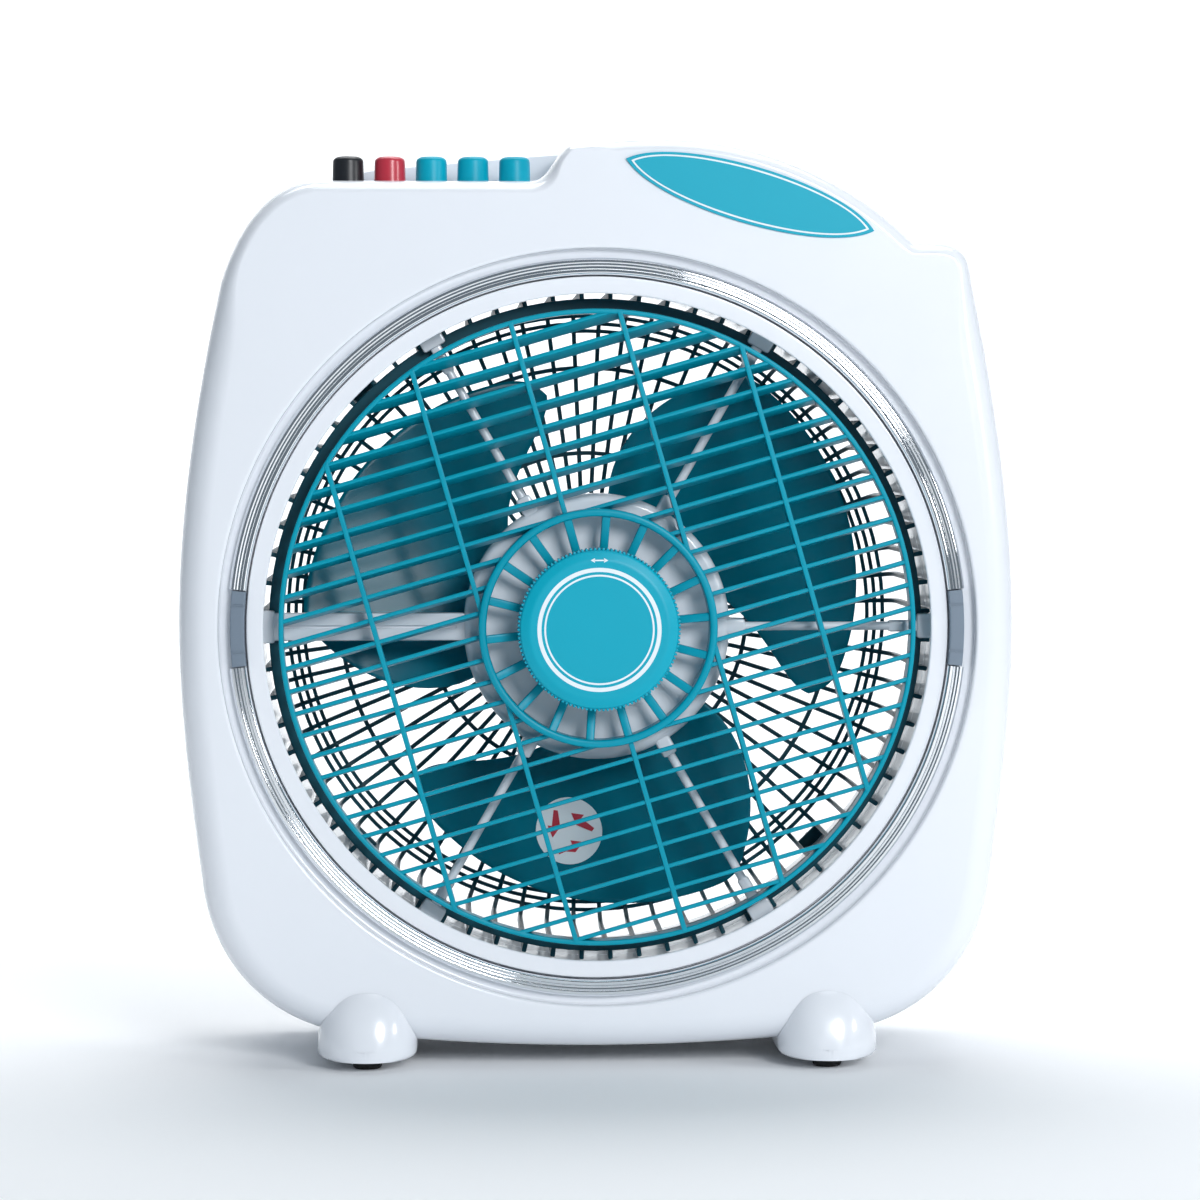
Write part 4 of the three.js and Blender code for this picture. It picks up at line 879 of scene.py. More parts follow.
class FAN_OT_rear_housing(bpy.types.Operator):
    """Rear shell: rounded back with the duct, the finger pocket, screw wells and the cord hole"""

    bl_idname = "fan.rear_housing"
    bl_label = "Rear housing"

    def execute(self, context):
        sizes = context.scene.fan_sizes
        wall = sizes.wall
        front = REAR_LOW.y
        outline = body_outline(with_ledge=False)
        cavity = same_angles(inset(body_outline(with_ledge=True), wall), outline)
        reach = edge_reach(outline, BACK_EDGE_INSET)
        depth = BACK_EDGE_DEPTH
        duct = rounded([(DUCT_BORE + 4 * MM, BODY_BACK), (DUCT_BORE, BODY_BACK), (DUCT_BORE, front),
                        (DUCT_OUTSIDE, front),
                        (DUCT_OUTSIDE, BODY_BACK - wall), (DUCT_OUTSIDE + 2 * MM, BODY_BACK - wall)],
                       1.5 * MM, 3, ends_fixed=True)
        loops = [loop_at(inset(outline, 0.5 * MM), front), loop_at(outline, front + 0.6 * MM)]
        loops += edge_loops(outline, BODY_BACK, -depth, reach)
        loops += [circle_along(outline, r, y) for r, y in duct]
        loops += list(reversed(edge_loops(cavity, BODY_BACK - wall, wall - depth, reach - wall)))
        loops.append(loop_at(cavity, front))
        shell = loft("rear_shell", loops, ring=True)
        self.add_pocket(shell, wall)
        self.add_screw_wells(shell, front)
        tool = lathe("tool", disc(6.3 * MM, BODY_BACK - 9 * MM, BODY_BACK + 5 * MM), sides=32)
        cut(shell, moved(tool, across_from(*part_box("cord_gland"))))
        finished(shell, white_shell(), "cabinet", "rear_housing")
        return {"FINISHED"}

    def add_pocket(self, shell, wall):
        """The finger pocket under the hump, open to the back."""
        openings = {opening["name"]: opening for opening in frame["record"]["physics"]["openings"]}
        low, high = [Vector(corner) for corner in openings["hand_pocket"]["box_m"]]
        x = (low.x + high.x) / 2
        z = (low.z + high.z) / 2
        width = high.x - low.x + 4 * MM
        height = high.z - low.z + 4 * MM
        inner = low.y - 2 * MM
        liner = slab("liner", rounded_rectangle(x, z, width + 2 * wall, height + 2 * wall, 8 * MM),
                     inner - wall, BODY_BACK - 1 * MM)
        union(shell, liner)
        hollow = slab("hollow", rounded_rectangle(x, z, width, height, 6 * MM), inner, BODY_BACK + 5 * MM,
                      2 * MM)
        cut(shell, hollow)

    def add_screw_wells(self, shell, front):
        """Sleeves that the housing screws sit in, and bosses that the grille's ears are screwed to."""
        for low, high in SCREW_PLACES:
            place = across_from(low, high)
            seat = high.y - SCREW_HEAD - GAP
            sleeve = lathe("sleeve", disc(6.5 * MM, front, BODY_BACK - 1 * MM), sides=32)
            union(shell, moved(sleeve, place))
            well = lathe("well", disc(4.4 * MM, seat, BODY_BACK + 5 * MM), sides=32)
            cut(shell, moved(well, place))
            shank = lathe("shank", disc(SCREW_CLEARANCE, front - 5 * MM, seat + 1 * MM), sides=16)
            cut(shell, moved(shank, place))
        for low, high in EAR_PLACES:
            place = across_from(low, high)
            boss = lathe("boss", disc(5 * MM, BODY_BACK - 18 * MM, BODY_BACK - 1 * MM), sides=24)
            union(shell, moved(boss, place))
            pilot = lathe("pilot", disc(PILOT, BODY_BACK - 15 * MM, BODY_BACK + 1 * MM), sides=16)
            cut(shell, moved(pilot, place))


class FAN_OT_duct_and_trim(bpy.types.Operator):
    """Air duct with its front lip, the two halves of the chrome ring and their joint blocks"""

    bl_idname = "fan.duct_and_trim"
    bl_label = "Duct and chrome ring"

    def execute(self, context):
        front = DUCT_LOW.y
        lip_back = front + LIP_THICKNESS
        duct = lathe("air_duct", [(LIP_BORE, front), (DUCT_OUTSIDE, front), (DUCT_OUTSIDE, PARTING),
                                  (DUCT_BORE, PARTING), (DUCT_BORE, lip_back), (LIP_BORE, lip_back)],
                     radius=1.1 * MM, sides=192)
        finished(on_axis(duct), white_shell(), "cabinet", "duct_ring")
        outside = TRIM_INSIDE + TRIM_WIDTH
        bead = [(0, 0), (0, 3.8), (0.9, 5.2), (2.4, 4.8), (3.3, 3.4), (4.3, 3.6), (5.2, 4.9), (6.6, 4.6),
                (7.6, 2.8), (7.6, 0)]
        section = rounded([(TRIM_INSIDE + across * MM, TRIM_BACK - up * MM) for across, up in bead],
                          1.2 * MM, 5)
        half_gap = math.asin((CLIP_HIGH.z - AXIS_Z) / outside) + GAP / outside
        for name, start in (("upper", half_gap), ("lower", math.pi + half_gap)):
            ring = arc(f"chrome_arc_{name}", section, start, start + math.pi - 2 * half_gap, 120)
            finished(on_axis(ring), chrome(), "cabinet", f"trim_ring_{name}")
        block_section = rounded(band(TRIM_INSIDE, outside - 1.2 * MM, CLIP_LOW.y, TRIM_BACK), 0.9 * MM)
        span = half_gap - 2 * GAP / outside
        for name, angle in (("right", 0.0), ("left", math.pi)):
            block = arc(f"joint_block_{name}", block_section, angle - span, angle + span, 20)
            notch_section = band(TRIM_INSIDE - 1 * MM, outside + 3 * MM, CLIP_LOW.y - 1 * MM,
                                 CLIP_LOW.y + 0.5 * MM)
            for side in (-0.62, 0.62):
                middle = angle + side * span
                cut(block, arc("notch", notch_section, middle - 0.004, middle + 0.004, 1))
            finished(on_axis(block), clip_grey(), "cabinet", f"trim_clip_{name}")
        return {"FINISHED"}


# ---------------------------------------------------------------------------
# Louvre, knob and spindle
# ---------------------------------------------------------------------------

CUP_RADIUS = 59 * MM
HUB_RING = 52.5 * MM
HUB_RING_WALL = 3.5 * MM
KNOB_RADIUS = KNOB_HIGH.x
LOUVRE_FRONT = FACE + 4 * MM
LOUVRE_BACK = LOUVRE_HIGH.y
HUB_PLATE_FRONT = LOUVRE_FRONT + 1 * MM
HUB_PLATE_BACK = HUB_PLATE_FRONT + 3.5 * MM
SPINDLE_RADIUS = 3 * MM
FLANGE_RADIUS = 10 * MM
FLANGE_THICKNESS = 2.5 * MM
KNOB_SKIN = 2.6 * MM
INSERT_SOCKET = 8.6 * MM
SLAT_PITCH = 10 * MM
HUB_SPOKES = 18
SPOKE_SLOPE = math.radians(12)


class FAN_OT_louvre(bpy.types.Operator):
    """Rotating louvre: leaning slats, ribs, outer ring, hub ring and hub spokes in one moulding"""

    bl_idname = "fan.louvre"
    bl_label = "Louvre"

    def execute(self, context):
        sizes = context.scene.fan_sizes
        teal = louvre_teal()
        wheel = self.slats(sizes, teal)
        rib = box("rib", (-1.1 * MM, LOUVRE_FRONT - 0.3 * MM, -LOUVRE_RADIUS),
                  (1.1 * MM, LOUVRE_BACK - 1 * MM, LOUVRE_RADIUS), 0.4 * MM)
        ribs = run_tree(rib, row_tree(), count=5, pitch=sizes.rib_spacing, material=teal)
        union(wheel, ribs)
        reach = LOUVRE_RADIUS - 1.1 * MM
        field = lathe("field", disc(reach, LOUVRE_FRONT - 5 * MM, LOUVRE_BACK + 5 * MM), sides=144)
        boolean(wheel, "INTERSECT", field)
        hub_reach = HUB_RING - HUB_RING_WALL / 2
        cut(wheel, lathe("hub", disc(hub_reach, LOUVRE_FRONT - 6 * MM, LOUVRE_BACK + 6 * MM), sides=96))
        union(wheel,
              lathe("outer_ring", band(LOUVRE_RADIUS - 2.2 * MM, LOUVRE_RADIUS, LOUVRE_FRONT, LOUVRE_BACK),
                    0.8 * MM, 144),
              lathe("hub_ring", band(HUB_RING - HUB_RING_WALL, HUB_RING, LOUVRE_FRONT - 4 * MM,
                                     LOUVRE_BACK - 1 * MM), 1.5 * MM, 96, 4),
              lathe("hub_plate", band(3.4 * MM, KNOB_RADIUS - 2 * MM, HUB_PLATE_FRONT, HUB_PLATE_BACK),
                    0.6 * MM, 64))
        union(wheel, self.spokes(sizes, teal, hub_reach))
        turned_about_axis(wheel, sizes.slat_turn)
        finished(on_axis(wheel), teal, "louvre", "louvre_grille", crease=40)
        return {"FINISHED"}

    def slats(self, sizes, teal):
        """All the slats; the template is one metre long and is scaled to each chord."""
        depth = LOUVRE_BACK - LOUVRE_FRONT - 0.6 * MM
        section = rounded([(-depth / 2, -1.0 * MM), (depth / 2, -0.75 * MM), (depth / 2, 0.75 * MM),
                           (-depth / 2, 1.0 * MM)], 0.7 * MM, 2)
        slat = loft("louvre_wheel", [[Vector((x, y, z)) for y, z in section] for x in (-0.5, 0.5)])
        run_tree(slat, slat_tree(), count=sizes.slat_count, pitch=SLAT_PITCH, radius=LOUVRE_RADIUS,
                 lean_low=sizes.slat_lean_low, lean_top=sizes.slat_lean_top, material=teal)
        return moved(slat, Matrix.Translation((0, (LOUVRE_FRONT + LOUVRE_BACK) / 2, 0)))

    def spokes(self, sizes, teal, hub_reach):
        """Rounded spokes that slope in under the knob."""
        start = KNOB_RADIUS - 4 * MM
        length = hub_reach - start
        spoke = box("spoke", (-length / 2, -1.6 * MM, -1.9 * MM), (length / 2, 1.6 * MM, 1.9 * MM), 0.9 * MM)
        moved(spoke, Matrix.Translation((start + length / 2, HUB_PLATE_FRONT, 0))
              @ Matrix.Rotation(-SPOKE_SLOPE, 4, "Z"))
        return polar(spoke, HUB_SPOKES, teal, start=math.radians(5.8) - sizes.slat_turn)


class FAN_OT_knob(bpy.types.Operator):
    """Clamp knob with its printed rings and arrow, its thread insert, and the louvre spindle"""

    bl_idname = "fan.knob"
    bl_label = "Knob and spindle"

    def execute(self, context):
        sizes = context.scene.fan_sizes
        front = KNOB_LOW.y
        back = KNOB_HIGH.y
        rim = KNOB_RADIUS - 0.9 * MM
        under = front + 4 * MM
        collar = INSERT_SOCKET + KNOB_SKIN
        cap = lathe("clamp_knob", [(0, front), (rim - 4.5 * MM, front), (rim - 0.4 * MM, front + 1.4 * MM),
                                   (rim, under), (rim, back), (rim - 2.4 * MM, back),
                                   (rim - KNOB_SKIN, under), (collar, under), (collar, back),
                                   (INSERT_SOCKET, back), (INSERT_SOCKET, front + 5.6 * MM),
                                   (0, front + 5.6 * MM)], 0.9 * MM, 144, 4)
        ridge = lathe("ridge", disc(0.62 * MM, front + 2.2 * MM, back - 0.6 * MM), 0.5 * MM, 8, 2)
        moved(ridge, Matrix.Translation((rim + 0.1 * MM, 0, 0)))
        union(cap, polar(ridge, sizes.knob_grips, knob_teal()))
        finished(on_axis(cap), knob_teal(), "knob", "knob_cap")
        marks = merged("knob_marks", [self.ring(front, 25.2 * MM, 27.0 * MM),
                                      self.ring(front, 23.2 * MM, 24.0 * MM), *self.arrow(front)])
        finished(on_axis(marks), print_white(), "knob", slot="knob_teal")
        insert_low, insert_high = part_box("knob_insert")
        insert = lathe("thread_insert", band(3.3 * MM, insert_high.x, insert_low.y, insert_high.y), sides=48)
        knurl = lathe("knurl", disc(0.5 * MM, insert_low.y + 1 * MM, insert_high.y - 1 * MM), 0.2 * MM, 6, 1)
        moved(knurl, Matrix.Translation((insert_high.x - 0.3 * MM, 0, 0)))
        union(insert, polar(knurl, 36, brass()))
        finished(on_axis(insert), brass(), "knob_thread", "knob_insert")
        low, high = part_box("louvre_spindle")
        flange = HUB_PLATE_BACK + GAP
        spindle = lathe("spindle", [(0, low.y), (SPINDLE_RADIUS, low.y), (SPINDLE_RADIUS, flange),
                                    (FLANGE_RADIUS, flange), (FLANGE_RADIUS, flange + FLANGE_THICKNESS),
                                    (SPINDLE_RADIUS, flange + FLANGE_THICKNESS),
                                    (SPINDLE_RADIUS, high.y), (0, high.y)], 0.4 * MM, 48)
        finished(on_axis(spindle), steel(), "louvre", "louvre_spindle")
        return {"FINISHED"}

    def ring(self, front, inside, outside):
        """One printed ring, a hair proud of the knob's face."""
        return lathe("ring", band(inside, outside, front - 0.02 * MM, front + 0.1 * MM), 0.02 * MM, 128, 1)

    def arrow(self, front):
        """A plain two-headed arrow near the top of the knob."""
        height = 30.2 * MM
        shapes = [[(-2.2, -0.3), (2.2, -0.3), (2.2, 0.3), (-2.2, 0.3)],
                  [(2.0, -1.0), (3.8, 0.0), (2.0, 1.0)], [(-2.0, 1.0), (-3.8, 0.0), (-2.0, -1.0)]]
        return [slab("arrow", [(x * MM, height + z * MM) for x, z in shape], front - 0.02 * MM,
                     front + 0.4 * MM, 0.01 * MM, 1) for shape in shapes]


class FAN_OT_bracket(bpy.types.Operator):
    """Louvre bracket: a cup on six arms with end clips, the slow motor inside it and its cover"""

    bl_idname = "fan.bracket"
    bl_label = "Bracket"

    def execute(self, context):
        white = white_shell()
        front = BRACKET_LOW.y
        back = BRACKET_HIGH.y
        radius = CUP_RADIUS
        wall = context.scene.fan_sizes.wall
        spider = lathe("bracket_spider", [(3.6 * MM, front), (radius - 2 * MM, front), (radius, front + 3 * MM),
                                          (radius, back), (radius - wall, back),
                                          (radius - wall, front + wall), (3.6 * MM, front + wall)],
                       1.6 * MM, 96, 4)
        bore = DUCT_BORE - GAP
        arm_y = front + 4.5 * MM
        start = radius - 1 * MM
        centre = Matrix.Translation(((start + bore) / 2, arm_y, 0))
        rod = lathe("arm", disc(1.9 * MM, (start - bore) / 2, (bore - start) / 2), 0.4 * MM, 24)
        moved(rod, centre @ Matrix.Rotation(-math.pi / 2, 4, "Z"))
        clip = box("clip", (bore - 9 * MM, arm_y - 3.3 * MM, -5.5 * MM), (bore, arm_y + 3.3 * MM, 5.5 * MM),
                   1.2 * MM)
        taper = box("taper", (bore - 22 * MM, arm_y - 2.2 * MM, -2.6 * MM),
                    (bore - 8 * MM, arm_y + 2.2 * MM, 2.6 * MM), 1.5 * MM)
        root = box("root", (start - 2 * MM, arm_y - 3.6 * MM, -3.5 * MM),
                   (start + 8 * MM, arm_y + 3.6 * MM, 3.5 * MM), 1.5 * MM)
        for piece in (rod, clip, taper, root):
            union(spider, polar(piece, 6, white, skip=3))
        wire_duct = box("wire_duct", (-bore, arm_y - 3 * MM, -6.2 * MM), (-start, arm_y + 3 * MM, 6.2 * MM),
                        1.3 * MM)
        duct_clip = box("duct_clip", (-bore, arm_y - 3.4 * MM, -7.2 * MM),
                        (9 * MM - bore, arm_y + 3.4 * MM, 7.2 * MM), 1 * MM)
        groove = box("groove", (11 * MM - bore, arm_y - 4 * MM, -0.7 * MM),
                     (-start - 4 * MM, arm_y - 1.6 * MM, 0.7 * MM), 0.3 * MM)
        union(spider, wire_duct, duct_clip)
        cut(spider, groove)
        rim = lathe("rim", disc(bore, front - 5 * MM, back + 5 * MM), sides=144)
        boolean(spider, "INTERSECT", rim)
        cut(spider, lathe("well", disc(radius - wall, front + wall, back + 1 * MM), sides=96))
        finished(on_axis(spider), white, "cabinet", "louvre_bracket")
        self.slow_motor()
        low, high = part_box("louvre_motor_cover")
        lid = lathe("gear_motor_lid", [(0, low.y), (high.x, low.y), (high.x, high.y), (high.x - 8 * MM, high.y),
                                       (high.x - 9 * MM, high.y - 0.6 * MM), (0, high.y - 0.6 * MM)],
                    0.4 * MM, 96)
        finished(on_axis(lid), white, "cabinet", "louvre_motor_cover")
        return {"FINISHED"}

    def slow_motor(self):
        """The sealed gear motor: a drawn can with a rolled rim."""
        low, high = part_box("louvre_motor")
        bore = SPINDLE_RADIUS + GAP
        step = low.y + 2 * MM
        fold = low.y + 3.4 * MM
        can = lathe("gear_motor", [(bore, low.y), (high.x - 2 * MM, low.y), (high.x - 2 * MM, step),
                                   (high.x, step), (high.x, fold), (high.x - 1 * MM, fold),
                                   (high.x - 1 * MM, high.y), (bore, high.y)], 0.5 * MM, 64)
        finished(on_axis(can), die_cast(), "cabinet", "louvre_motor")


# ---------------------------------------------------------------------------
# Blade
# ---------------------------------------------------------------------------

BLADE_RADIUS = 131 * MM
BLADE_DROP = 31 * MM
BLADE_THICKNESS = 2.2 * MM
SHAFT_BORE = 4.3 * MM
STICKER_RADIUS = 15 * MM
STICKER_AT = 95.6 * MM
STICKER_TURN = math.radians(23.4)
ARROW_RING = 7.4 * MM
ARROW_SIZE = 0.85 * MM


def ease(t):
    return t * t * (3 - 2 * t)


def blade_tip(v):
    lead_corner = 8 * MM * max(0, 1 - v / 0.12) ** 3
    trail_corner = 3 * MM * max(0, 1 - (1 - v) / 0.08) ** 3
    return BLADE_RADIUS - 18 * MM * (1 - v) ** 1.5 - lead_corner - trail_corner


def blade_angles(u):
    """Angles of the leading and trailing edges at a share of the way from root to tip."""
    lead = 25 - 43.7 * ease(u)
    trail = 84 - 23.4 * (max(0, u - 0.35) / 0.65) ** 1.5
    return math.radians(lead), math.radians(trail)


def blade_y(u, v):
    """Middle of the blade's thickness, along the fan axis."""
    return BLADE_FRONT + 2.1 * MM + BLADE_DROP * (1 - v) - 5 * MM * v * (1 - v) * u


def blade_point(u, v, side):
    root = BLADE_HUB_RADIUS - 1.2 * MM
    radius = root + (blade_tip(v) - root) * u
    lead, trail = blade_angles(u)
    angle = lead + (trail - lead) * v
    edge = min(v, 1 - v, 1 - u) / 0.02
    half = BLADE_THICKNESS / 2 * math.sqrt(1 - (1 - min(1, edge)) ** 2 * 0.9)
    return Vector((radius * math.cos(angle), blade_y(u, v) + side * half, radius * math.sin(angle)))


def blade_shares(radius, angle):
    """The (u, v) of the blade point at a radius and an angle, found by repeated correction."""
    u = 0.6
    v = 0.5
    root = BLADE_HUB_RADIUS - 1.2 * MM
    for _ in range(12):
        u = (radius - root) / (blade_tip(v) - root)
        lead, trail = blade_angles(u)
        v = (angle - lead) / (trail - lead)
    return u, v


class FAN_OT_blade(bpy.types.Operator):
    """Fan blade with its hub, a blank round sticker with plain arrows, and the blade nut"""

    bl_idname = "fan.blade"
    bl_label = "Blade"

    def execute(self, context):
        count = context.scene.fan_sizes.blade_count
        front = BLADE_FRONT
        back = BLADE_HIGH.y
        r = BLADE_HUB_RADIUS
        bore = SHAFT_BORE
        depth = 34 * MM
        hub = lathe("propeller", [(bore, front), (r - 2 * MM, front), (r, front + 3 * MM),
                                  (r + 1.5 * MM, front + depth), (r - 1 * MM, front + depth),
                                  (r - 2.8 * MM, front + 3 * MM), (bore + 5 * MM, front + 3 * MM),
                                  (bore + 5 * MM, front + depth), (bore, front + depth)], 1.2 * MM, 96)
        rib = box("rib", (bore + 3 * MM, front + 2 * MM, -0.8 * MM), (r - 1 * MM, back - 8 * MM, 0.8 * MM),
                  0.3 * MM)
        union(hub, polar(rib, 6, blade_teal(), start=0.4))
        union(hub, polar(self.sheet(), count, blade_teal()))
        finished(on_axis(hub), blade_teal(), "rotor", "fan_blade")
        self.sticker()
        low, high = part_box("blade_nut")
        nut = lathe("propeller_nut", [(0, low.y), (9 * MM, low.y), (11 * MM, low.y + 2 * MM),
                                      (11 * MM, high.y), (bore, high.y), (bore, low.y + 1.8 * MM),
                                      (0, low.y + 1.8 * MM)], 0.6 * MM, 48)
        grip = box("grip", (9 * MM, low.y + 1 * MM, -0.7 * MM), (11.6 * MM, high.y - 0.4 * MM, 0.7 * MM),
                   0.3 * MM)
        union(nut, polar(grip, 12, dark_teal()))
        finished(on_axis(nut), dark_teal(), "rotor", "blade_nut")
        return {"FINISHED"}

    def sheet(self, along=28, across=44):
        """One blade, as loops round its thickness from the root to the tip."""
        loops = []
        for i in range(along + 1):
            u = 1 - (1 - i / along) ** 1.6
            shares = [(1 - math.cos(math.pi * k / across)) / 2 for k in range(across + 1)]
            front = [blade_point(u, v, -1) for v in shares]
            rear = [blade_point(u, v, 1) for v in reversed(shares)]
            loops.append(front + rear)
        return loft("blade", loops)

    def decal(self, name, outline, lift):
        """A thin patch that lies on the blade's front, from an outline of (x, z) about the fan axis."""
        patch = bmesh.new()
        corners = [patch.verts.new((x, 0, z)) for x, z in outline]
        patch.faces.new(corners)
        bmesh.ops.triangulate(patch, faces=patch.faces)
        bmesh.ops.subdivide_edges(patch, edges=patch.edges, cuts=3, use_grid_fill=True)
        for vert in patch.verts:
            u, v = blade_shares(math.hypot(vert.co.x, vert.co.z), math.atan2(vert.co.z, vert.co.x))
            vert.co.y = blade_y(u, v) - BLADE_THICKNESS / 2 - lift
        mesh = bpy.data.meshes.new(name)
        patch.to_mesh(mesh)
        patch.free()
        obj = bpy.data.objects.new(name, mesh)
        bpy.context.scene.collection.objects.link(obj)
        thick = obj.modifiers.new("thick", "SOLIDIFY")
        thick.thickness = 0.12 * MM
        thick.offset = 0
        return applied(obj)

    def sticker(self):
        """A pale round sticker with three plain arrows round its middle."""
        cx = STICKER_AT * math.cos(STICKER_TURN)
        cz = STICKER_AT * math.sin(STICKER_TURN)
        ring = [(cx + STICKER_RADIUS * math.cos(TAU * k / 48), cz + STICKER_RADIUS * math.sin(TAU * k / 48))
                for k in range(48)]
        pale = self.decal("propeller_sticker", ring, 0.15 * MM)
        arrow = [(-7, -1.1), (1.5, -1.1), (1.5, -3.4), (7.5, 0), (1.5, 3.4), (1.5, 1.1), (-7, 1.1)]
        marks = []
        for k in range(3):
            turn = TAU * k / 3 + 0.6
            ax = cx + ARROW_RING * math.cos(turn)
            az = cz + ARROW_RING * math.sin(turn)
            tilt = turn + 1.9
            shape = [(ax + ARROW_SIZE * (x * math.cos(tilt) - z * math.sin(tilt)),
                      az + ARROW_SIZE * (x * math.sin(tilt) + z * math.cos(tilt))) for x, z in arrow]
            marks.append(self.decal("mark", shape, 0.30 * MM))
        red = merged("propeller_sticker_marks", marks)
        blade_turn = Matrix.Rotation(TAU / 3, 4, "Y")
        finished(on_axis(moved(pale, blade_turn)), print_white(), "rotor", slot="blade_teal")
        finished(on_axis(moved(red, blade_turn)), red_plastic(), "rotor", slot="blade_teal")


# ---------------------------------------------------------------------------
# Motor
# ---------------------------------------------------------------------------

class FAN_OT_motor(bpy.types.Operator):
    """Motor: shaft, rotor and stator cores, windings, end shields and bushes"""

    bl_idname = "fan.motor"
    bl_label = "Motor"

    def execute(self, context):
        low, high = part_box("motor_shaft")
        shaft = lathe("shaft", disc(high.x, low.y, high.y), 0.6 * MM, 48)
        finished(on_axis(shaft), steel(), "rotor", "motor_shaft")
        self.rotor(high.x)
        stator = copied("laminated_stator", "stator_core", 0.4 * MM)
        finished(stator, lamination(), "cabinet", "stator_core")
        for node in ("winding_front", "winding_rear"):
            self.winding(node)
        for node in ("motor_front_shield", "motor_rear_shield"):
            shield = copied(node + "_casting", node, 0.5 * MM)
            finished(shield, die_cast(), "cabinet", node)
        for node in ("bearing_front", "bearing_rear"):
            low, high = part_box(node)
            bush = lathe(node + "_bush", band(4.2 * MM, high.x, low.y, high.y), 0.7 * MM, 48)
            groove = lathe("groove", band(high.x - 0.5 * MM, high.x + 1 * MM, low.y + 3.4 * MM,
                                          high.y - 3.4 * MM), 0.1 * MM, 48, 1)
            cut(bush, groove)
            finished(on_axis(bush), bronze(), "cabinet", node)
        return {"FINISHED"}

    def rotor(self, shaft_radius):
        """Stacked core with slots cut round its edge."""
        low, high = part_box("rotor_core")
        core = lathe("squirrel_cage", band(shaft_radius + 0.2 * MM, high.x, low.y, high.y), 0.3 * MM, 96)
        slot = box("slot", (high.x - 0.5 * MM, low.y - 1 * MM, -0.5 * MM),
                   (high.x + 1 * MM, high.y + 1 * MM, 0.5 * MM), 0.1 * MM)
        cut(core, polar(slot, 24, lamination()))
        finished(on_axis(core), lamination(), "rotor", "rotor_core")

    def winding(self, node):
        """A ring of coil ends, with eight bundles."""
        low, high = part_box(node)
        inside = 24.5 * MM
        coil = lathe(node + "_coils", band(inside, high.x - 1 * MM, low.y + 0.6 * MM, high.y - 0.6 * MM),
                     2.6 * MM, 96, 5)
        bundle = lathe("bundle", disc(3.4 * MM, low.y, high.y), 1.8 * MM, 24, 4)
        moved(bundle, Matrix.Translation(((inside + high.x) / 2 + 0.9 * MM, 0, 0)))
        union(coil, polar(bundle, 16, copper()))
        finished(on_axis(coil), copper(), "cabinet", node, crease=50)


# ---------------------------------------------------------------------------
# Rear grille
# ---------------------------------------------------------------------------

GRILLE_CORNER = 20 * MM
MOTOR_PLATE_RADIUS = 49 * MM
BACK_RINGS = (76.5 * MM, 117 * MM)
CORNER_RINGS = (134.5 * MM, 138 * MM, 141.5 * MM)
EAR_TURN = math.pi / 4


